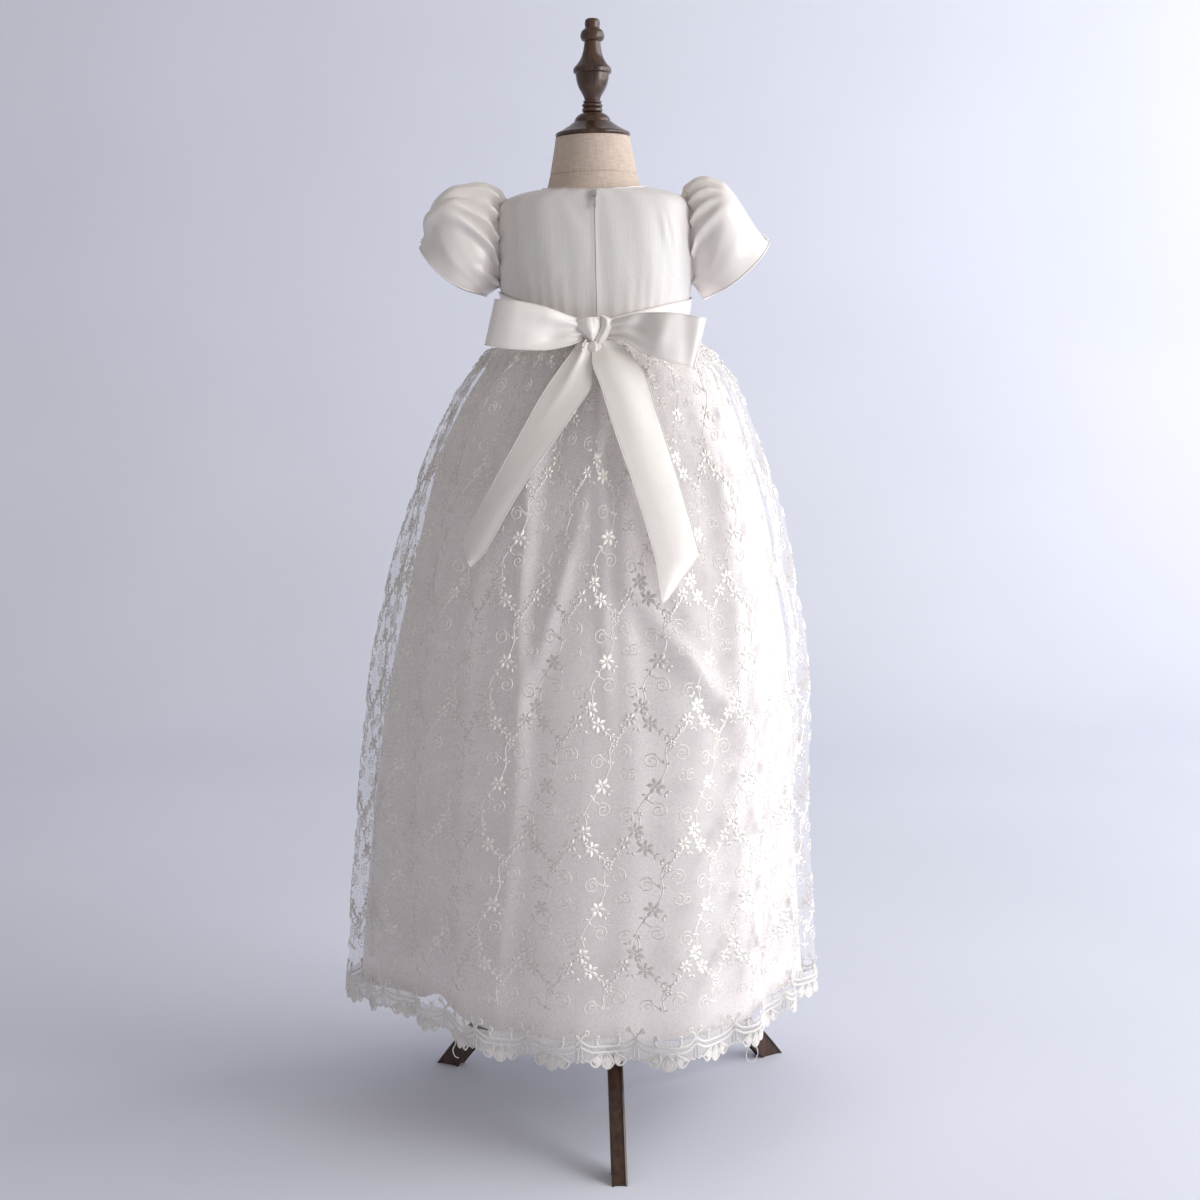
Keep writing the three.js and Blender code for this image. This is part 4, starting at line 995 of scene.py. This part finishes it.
def add_rhinestones(side, surface, middle):
    low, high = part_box(f"sleeve_ornament_{side}")
    centre = np.array((low + high) / 2) / MM - AXIS
    foot = surface(90.0, 6.65)
    across, up = unit(surface(92.0, 6.65) - foot), unit(surface(90.0, 6.75) - foot)
    out = unit(np.cross(across, up))
    out = out * np.sign(np.dot(out, foot - middle))
    shape = Shape()
    spots = [(0, 0, 1.7)] + [(3.1 * cosd(a), 3.1 * sind(a), 1.15) for a in range(0, 360, 60)]
    for x, y, size in spots:
        base = centre + across * x + up * y - out * 0.9
        turn = np.linspace(0, 360, 8, endpoint=False)[:, None]
        rings = [
            base + out * h + size * r * (cosd(turn) * across + sind(turn) * up)
            for r, h in ((0.9, -0.4), (1.0, 0.3), (0.62, 1.15), (0.0, 1.2))
        ]
        shape.grid(np.stack(rings), loop=True)
    shape.make(f"rhinestones_{side}", CRYSTAL, [f"sleeve_ornament_{side}"], shade=False)


# Sash, bow and knot
def edged(shape, grid, thickness, centre, edges, radius):
    shape.shell(grid, thickness, centre)
    for edge in edges:
        shape.tube(edge, radius)


def add_sash():
    low, high = columns(SASH_ROWS)
    angle = np.linspace(-97, -443, 240)[None]
    t = np.linspace(0, 1, 18)[:, None]
    z = mix(low(angle), high(angle), t)
    ripple = 0.45 * np.cos(t * 9 + angle / 14) * np.sin(np.pi * t) + 0.3 * np.sin(angle / 5) * t * (1 - t)
    outer = along_normal(bodice_surface, angle, z, BODY_CENTRE, 2.0 + ripple)
    shape = Shape()
    edged(shape, outer, 0.8, BODY_CENTRE, (outer[0], outer[-1]), 0.45)
    piece = shape.make("sash_band", RIBBON, ["waist_sash"])


def loop_grid(side, steps, across):
    x, near, far, low, high = by_index(LOOP_ROWS[side])
    count = len(LOOP_ROWS[side]) - 1
    s = np.linspace(0, 2, 2 * steps + 1)[None]
    index = np.where(s <= 1, s, 2 - s) * count
    t = np.linspace(0, 1, across)[:, None]
    y = mix(near(index), far(index), rise(0.86, 1.14, s)) + 0 * t
    z = mix(low(index), high(index), t)
    x = x(index) + 0 * t
    reach = np.abs(x) / LOOP_LEAN["reach"]
    x = x + LOOP_LEAN["slope"] * (z - LOOP_LEAN["middle"]) * reach**2
    front = s <= 1
    y = y - 2.2 * hill(reach, 0.42) * np.where(front, 1.0, 0.4) * np.cos(t * 15 + 1.0)
    if side == "left":
        y = y + 6.0 * hill(x + 38, 13) * hill(t - 0.34 - 0.004 * (x + 36), 0.22) * front
        y = y - 1.5 * np.sin(np.pi * t) * rise(0.3, 0.9, reach) * front
    else:
        y = y + 5.5 * hill(x - 34 - 14 * (t - 0.5), 8) * hill(t - 0.72, 0.32) * front
        y = y - 2.4 * hill(x - 54 - 10 * (t - 0.5), 7) * np.sin(np.pi * t) * front
        y = y + 2.0 * hill(x - 76, 7) * front
    return np.stack([x, y, z], -1)


def skirt_depth(x, z):
    low, high = np.full(np.shape(x), -180.0), np.zeros(np.shape(x))
    for _ in range(30):
        middle = (low + high) / 2
        short = skirt_ring(middle, z, 0, SKIRT_FOLD(z))[..., 0] < x
        low, high = np.where(short, middle, low), np.where(short, high, middle)
    return -skirt_ring(low, z, 0, SKIRT_FOLD(z))[..., 1]


def tail_grid(side, rows, across):
    last = len(TAIL_ROWS[side]) - 2
    index = np.linspace(0, last + 1, rows)[:, None]
    t = np.linspace(0, 1, across)[None]
    corner, tip = TAIL_ROWS[side][-2:]
    left_x, left_z, right_x, right_z = [
        edge(np.minimum(index, last)) + (end - start) * np.maximum(index - last, 0)
        for edge, start, end in zip(by_index(TAIL_ROWS[side][:-1]), corner, tip)
    ]
    x, z = mix(left_x, right_x, t), mix(left_z, right_z, t)
    depth = np.maximum(skirt_depth(x, z) + TAIL_LIFT + 2.6 * rise(600, 690, z), TAIL_TOP_DEPTH)
    bow = 1.4 * np.sin(np.pi * t) * rise(0, 2, index)
    if side == "left":
        bow = bow + 3.2 * hill(t - 0.62 + 0.10 * index, 0.16) * rise(3.2, 0.6, index)
        bow = bow + 1.6 * np.sin(np.pi * t) * np.cos(index * 1.1)
    else:
        bow = bow + 2.4 * hill(t - 0.45, 0.3) * rise(5.5, 1, index)
        bow = bow + 1.2 * np.cos(index * 1.3) * t * rise(1, 2.5, index) + 5.0 * (1 - t) * rise(0, 1.5, index)
    return np.stack([x, -depth - np.maximum(bow, -0.6), z], -1)


def add_bow():
    for side, tail_length in (("left", 0.20), ("right", 0.22)):
        shape = Shape()
        grid = loop_grid(side, 56, 22)
        edged(shape, grid, 0.6, LOOP_CENTRE, (grid[0], grid[-1]), 0.45)
        piece = shape.make(f"bow_{side}", RIBBON, [f"bow_loop_{side}"])
        shape = Shape()
        grid = tail_grid(side, 73, 24)
        edged(shape, grid, 0.6, BOW_CENTRE, (grid[:, 0], grid[:, -1], grid[-1]), 0.42)
        piece = shape.make(f"tail_{side}", RIBBON, [f"bow_tail_{side}"])


def add_knot():
    shape = Shape()
    turn = np.linspace(0, 360, 40, endpoint=False)[None]
    lift = np.linspace(-90, 90, 22)[:, None]
    across, near = cosd(turn) * cosd(lift), sind(turn) * cosd(lift)
    near = near * (1 - 0.10 * hill(across * 4 - 0.6))
    core = np.stack([-2.5 + 15.0 * across, -66.5 + 9.0 * near, 719 + 10.5 * sind(lift) + 0 * turn], -1)
    shape.grid(core, loop=True)
    for lobe in KNOT_LOBES.values():
        height, left, right = by_index(lobe["rows"])
        index = np.linspace(0, len(lobe["rows"]) - 1, 26)[:, None]
        t = np.linspace(0, 1, 20)[None]
        bulge = lobe["bulge"] * (1 - np.abs(2 * t - 1) ** 2.2) * (0.55 + 0.45 * np.sin(np.pi * index / 5))
        dents = 0.7 * hill(t - 0.7, 0.08) + 0.5 * hill(t - 0.32, 0.07)
        x = mix(left(index), right(index), t)
        grid = np.stack([x, dents - lobe["depth"] - bulge, height(index) + 0 * t], -1)
        edged(shape, grid, 0.8, BOW_CENTRE, (grid[:, 0], grid[:, -1], grid[0]), 0.5)
    shape.tube(curve(KNOT_CORD, 6), 1.0, 8)
    shape.make("knot_core", RIBBON, ["bow_knot"])


# Zip: a coil and its tape in the seam, under the two lips of the back
def add_zip():
    z = np.linspace(713, 839, 260)
    line = bodice_surface(-90.0, z)
    shape = Shape()
    for sign in (-1, 1):
        wave = line + np.array([sign * 0.55, 0.6, 0])
        wave[:, 0] += 0.25 * np.cos(np.arange(len(z)) * np.pi / 2)
        shape.tube(wave, 0.4, 5)
    across = np.linspace(-1.6, 1.6, 5)[None, :, None]
    shape.grid(line[:, None] + across * [1, 0, 0] + [0, 1.1, 0])
    shape.make("zip_coil", LINING, ["zip_chain"])


# Dress form and stand
def refine(runs):
    points = np.concatenate([curve(run, 4)[:-1] for run in runs] + [runs[-1][-1:]])
    return np.concatenate([points[:1] * (0, 1), points, points[-1:] * (0, 1)])


def add_turned(name, node, runs, lean=0.0):
    profile = refine(runs)
    turn = np.linspace(0, 2 * np.pi, 96, endpoint=False)
    radius, up, foot = profile[:, :1], profile[:, 1:] + 0 * turn, profile[0, 1]
    x, z = spun(radius * np.cos(turn), up - foot, -lean)
    around = turn * profile[:, 0].max() + 0 * radius
    points = np.stack([x, radius * np.sin(turn), z + foot], -1)
    shape = Shape()
    shape.grid(points, loop=True, uv=np.stack([around, up], -1) * MM)
    piece = shape.make(name, WOOD, [node])
    sharpen(piece, 38)


def add_form():
    angle = np.linspace(0, 360, 144, endpoint=False)
    x, y = oval(angle, 2.5)
    rings = [np.stack([x * half, y * deep, 0 * x + z], -1) for z, half, deep in FORM_LOWER]
    for z in FORM_LEVELS:
        rings.append(along_normal(bodice_surface, angle, 0 * angle + z, BODY_CENTRE, -FORM_INSET))
    for z, radius in FORM_NECK:
        rings.append(np.stack([radius * cosd(angle), radius * sind(angle), 0 * angle + z], -1))
    rings = np.array(rings)
    fine = np.linspace(0, len(rings) - 1, (len(rings) - 1) * 5 + 1)
    keys = np.arange(len(rings))
    stacked = np.stack([
        np.stack([smooth(keys, rings[:, i, axis])(fine) for i in range(len(angle))], -1) for axis in range(3)
    ], -1)
    base = np.array([0, 0, FORM_BASE_Z])
    bottom = stacked[0] * np.array([0.9, 0.9, 0]) + base
    top = stacked[-1] * np.array([0, 0, 1])
    points = np.stack([0 * bottom + base, bottom, *stacked, top])
    around = np.broadcast_to(np.radians(angle) * 0.06, points.shape[:2])
    shape = Shape()
    shape.grid(points, loop=True, uv=np.stack([around, points[..., 2] * MM], -1))
    piece = shape.make("linen_form", LINEN, ["form_torso"])


def leg_section(outer, inner):
    down = unit(inner - outer)
    section = []
    for side, end, sign in ((-1, outer, 1), (1, outer, 1), (1, inner, -1), (-1, inner, -1)):
        for bend in (0, 45, 90) if side * sign < 0 else (90, 45, 0):
            x, z = end + down * sign * (1 - cosd(bend)) * LEG["round"]
            section.append([x, side * (LEG["width"] / 2 - (1 - sind(bend)) * LEG["round"]), z])
    return section


def add_legs():
    centre = np.array([LEG["toe"] - LEG["arc"] * sind(LEG["slope"]), -LEG["arc"] * cosd(LEG["slope"])])
    rings = []
    for share in np.linspace(0, 1, 40):
        ends = []
        for radius in (LEG["arc"], LEG["arc"] - LEG["depth"]):
            root = np.arcsin((LEG["root"] - centre[0]) / radius)
            floor = np.arccos(-centre[1] / radius)
            angle = mix(root, floor, share)
            ends.append(centre + radius * np.array([np.sin(angle), np.cos(angle)]))
        rings.append(leg_section(*ends))
    rings = np.array(rings)
    caps = [0 * end + end.mean(0) for end in (rings[0], rings[-1])]
    x, y, z = np.moveaxis(np.stack([caps[0], *rings, caps[1]]), -1, 0)
    for node, turn in LEG_ANGLES.items():
        shape = Shape()
        shape.grid(np.stack([*spun(x, y, turn + LEG["turn"]), np.maximum(z, 0)], -1), loop=True)
        piece = shape.make(node.replace("leg", "foot"), WOOD, [node])
        sharpen(piece, 50)


# Stage, lights and camera
def add_light(name, place, aim, size, energy, colour):
    light = bpy.data.lights.new(name, "AREA")
    light.shape, light.size, light.size_y = "RECTANGLE", size[0], size[1]
    light.energy, light.color = energy, colour
    lamp = bpy.data.objects.new(name, light)
    lamp.location = place
    lamp.rotation_euler = (Vector(aim) - Vector(place)).to_track_quat("-Z", "Y").to_euler()
    bpy.context.scene.collection.objects.link(lamp)


def add_camera():
    scene = bpy.context.scene
    data = bpy.data.cameras.new("camera")
    data.lens, data.sensor_width, data.sensor_fit = CAMERA["lens"], 36.0, "HORIZONTAL"
    camera = bpy.data.objects.new("camera", data)
    place = np.array([CAMERA["x"] + AXIS[0], AXIS[1] - CAMERA["distance"], CAMERA["height"]]) * MM
    tilt = Matrix.Rotation(np.radians(90 - CAMERA["pitch"]), 4, "X")
    roll = Matrix.Rotation(np.radians(CAMERA["roll"]), 4, "Z")
    camera.matrix_world = Matrix.Translation(place.tolist()) @ tilt @ roll
    scene.collection.objects.link(camera)
    scene.camera = camera


def add_stage():
    half, near, start, bend, top = BACKDROP_SWEEP
    turn = np.linspace(0, np.pi / 2, 24)
    curved = [(start + bend * np.sin(a), bend - bend * np.cos(a)) for a in turn]
    profile = [(near, 0.0), *curved, (start + bend, top)]
    points = np.array([[(x, y, z) for x in (-half, 0.0, half)] for y, z in profile])
    faces = quads(*points.shape[:2], False).tolist()
    backdrop = add_mesh("backdrop", points.reshape(-1, 3), faces, BACKDROP)
    world = bpy.data.worlds.new("studio")
    world.use_nodes = True
    background = world.node_tree.nodes["Background"]
    background.inputs[0].default_value = WORLD["colour"]
    background.inputs[1].default_value = WORLD["strength"]
    bpy.context.scene.world = world
    bpy.context.scene.view_settings.view_transform = "Standard"
    for name, light in LIGHTS.items():
        add_light(name, *light)
    add_camera()


add_stage()
add_form()
add_turned("neck_cap", "form_neck_cap", CAP_RUNS)
add_turned("finial", "form_finial", FINIAL_RUNS, FINIAL_LEAN)
add_turned("pole", "stand_pole", POLE_RUNS)
add_turned("hub", "stand_hub", HUB_RUNS)
add_legs()
add_lining()
add_overlay()
add_lace()
add_bodice()
add_sleeves()
add_knot()
add_sash()
add_bow()
add_zip()
for node in ("zip_slider", "zip_pull"):
    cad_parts[node].data.materials.clear()
    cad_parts[node].data.materials.append(NICKEL)

bpy.context.view_layer.update()
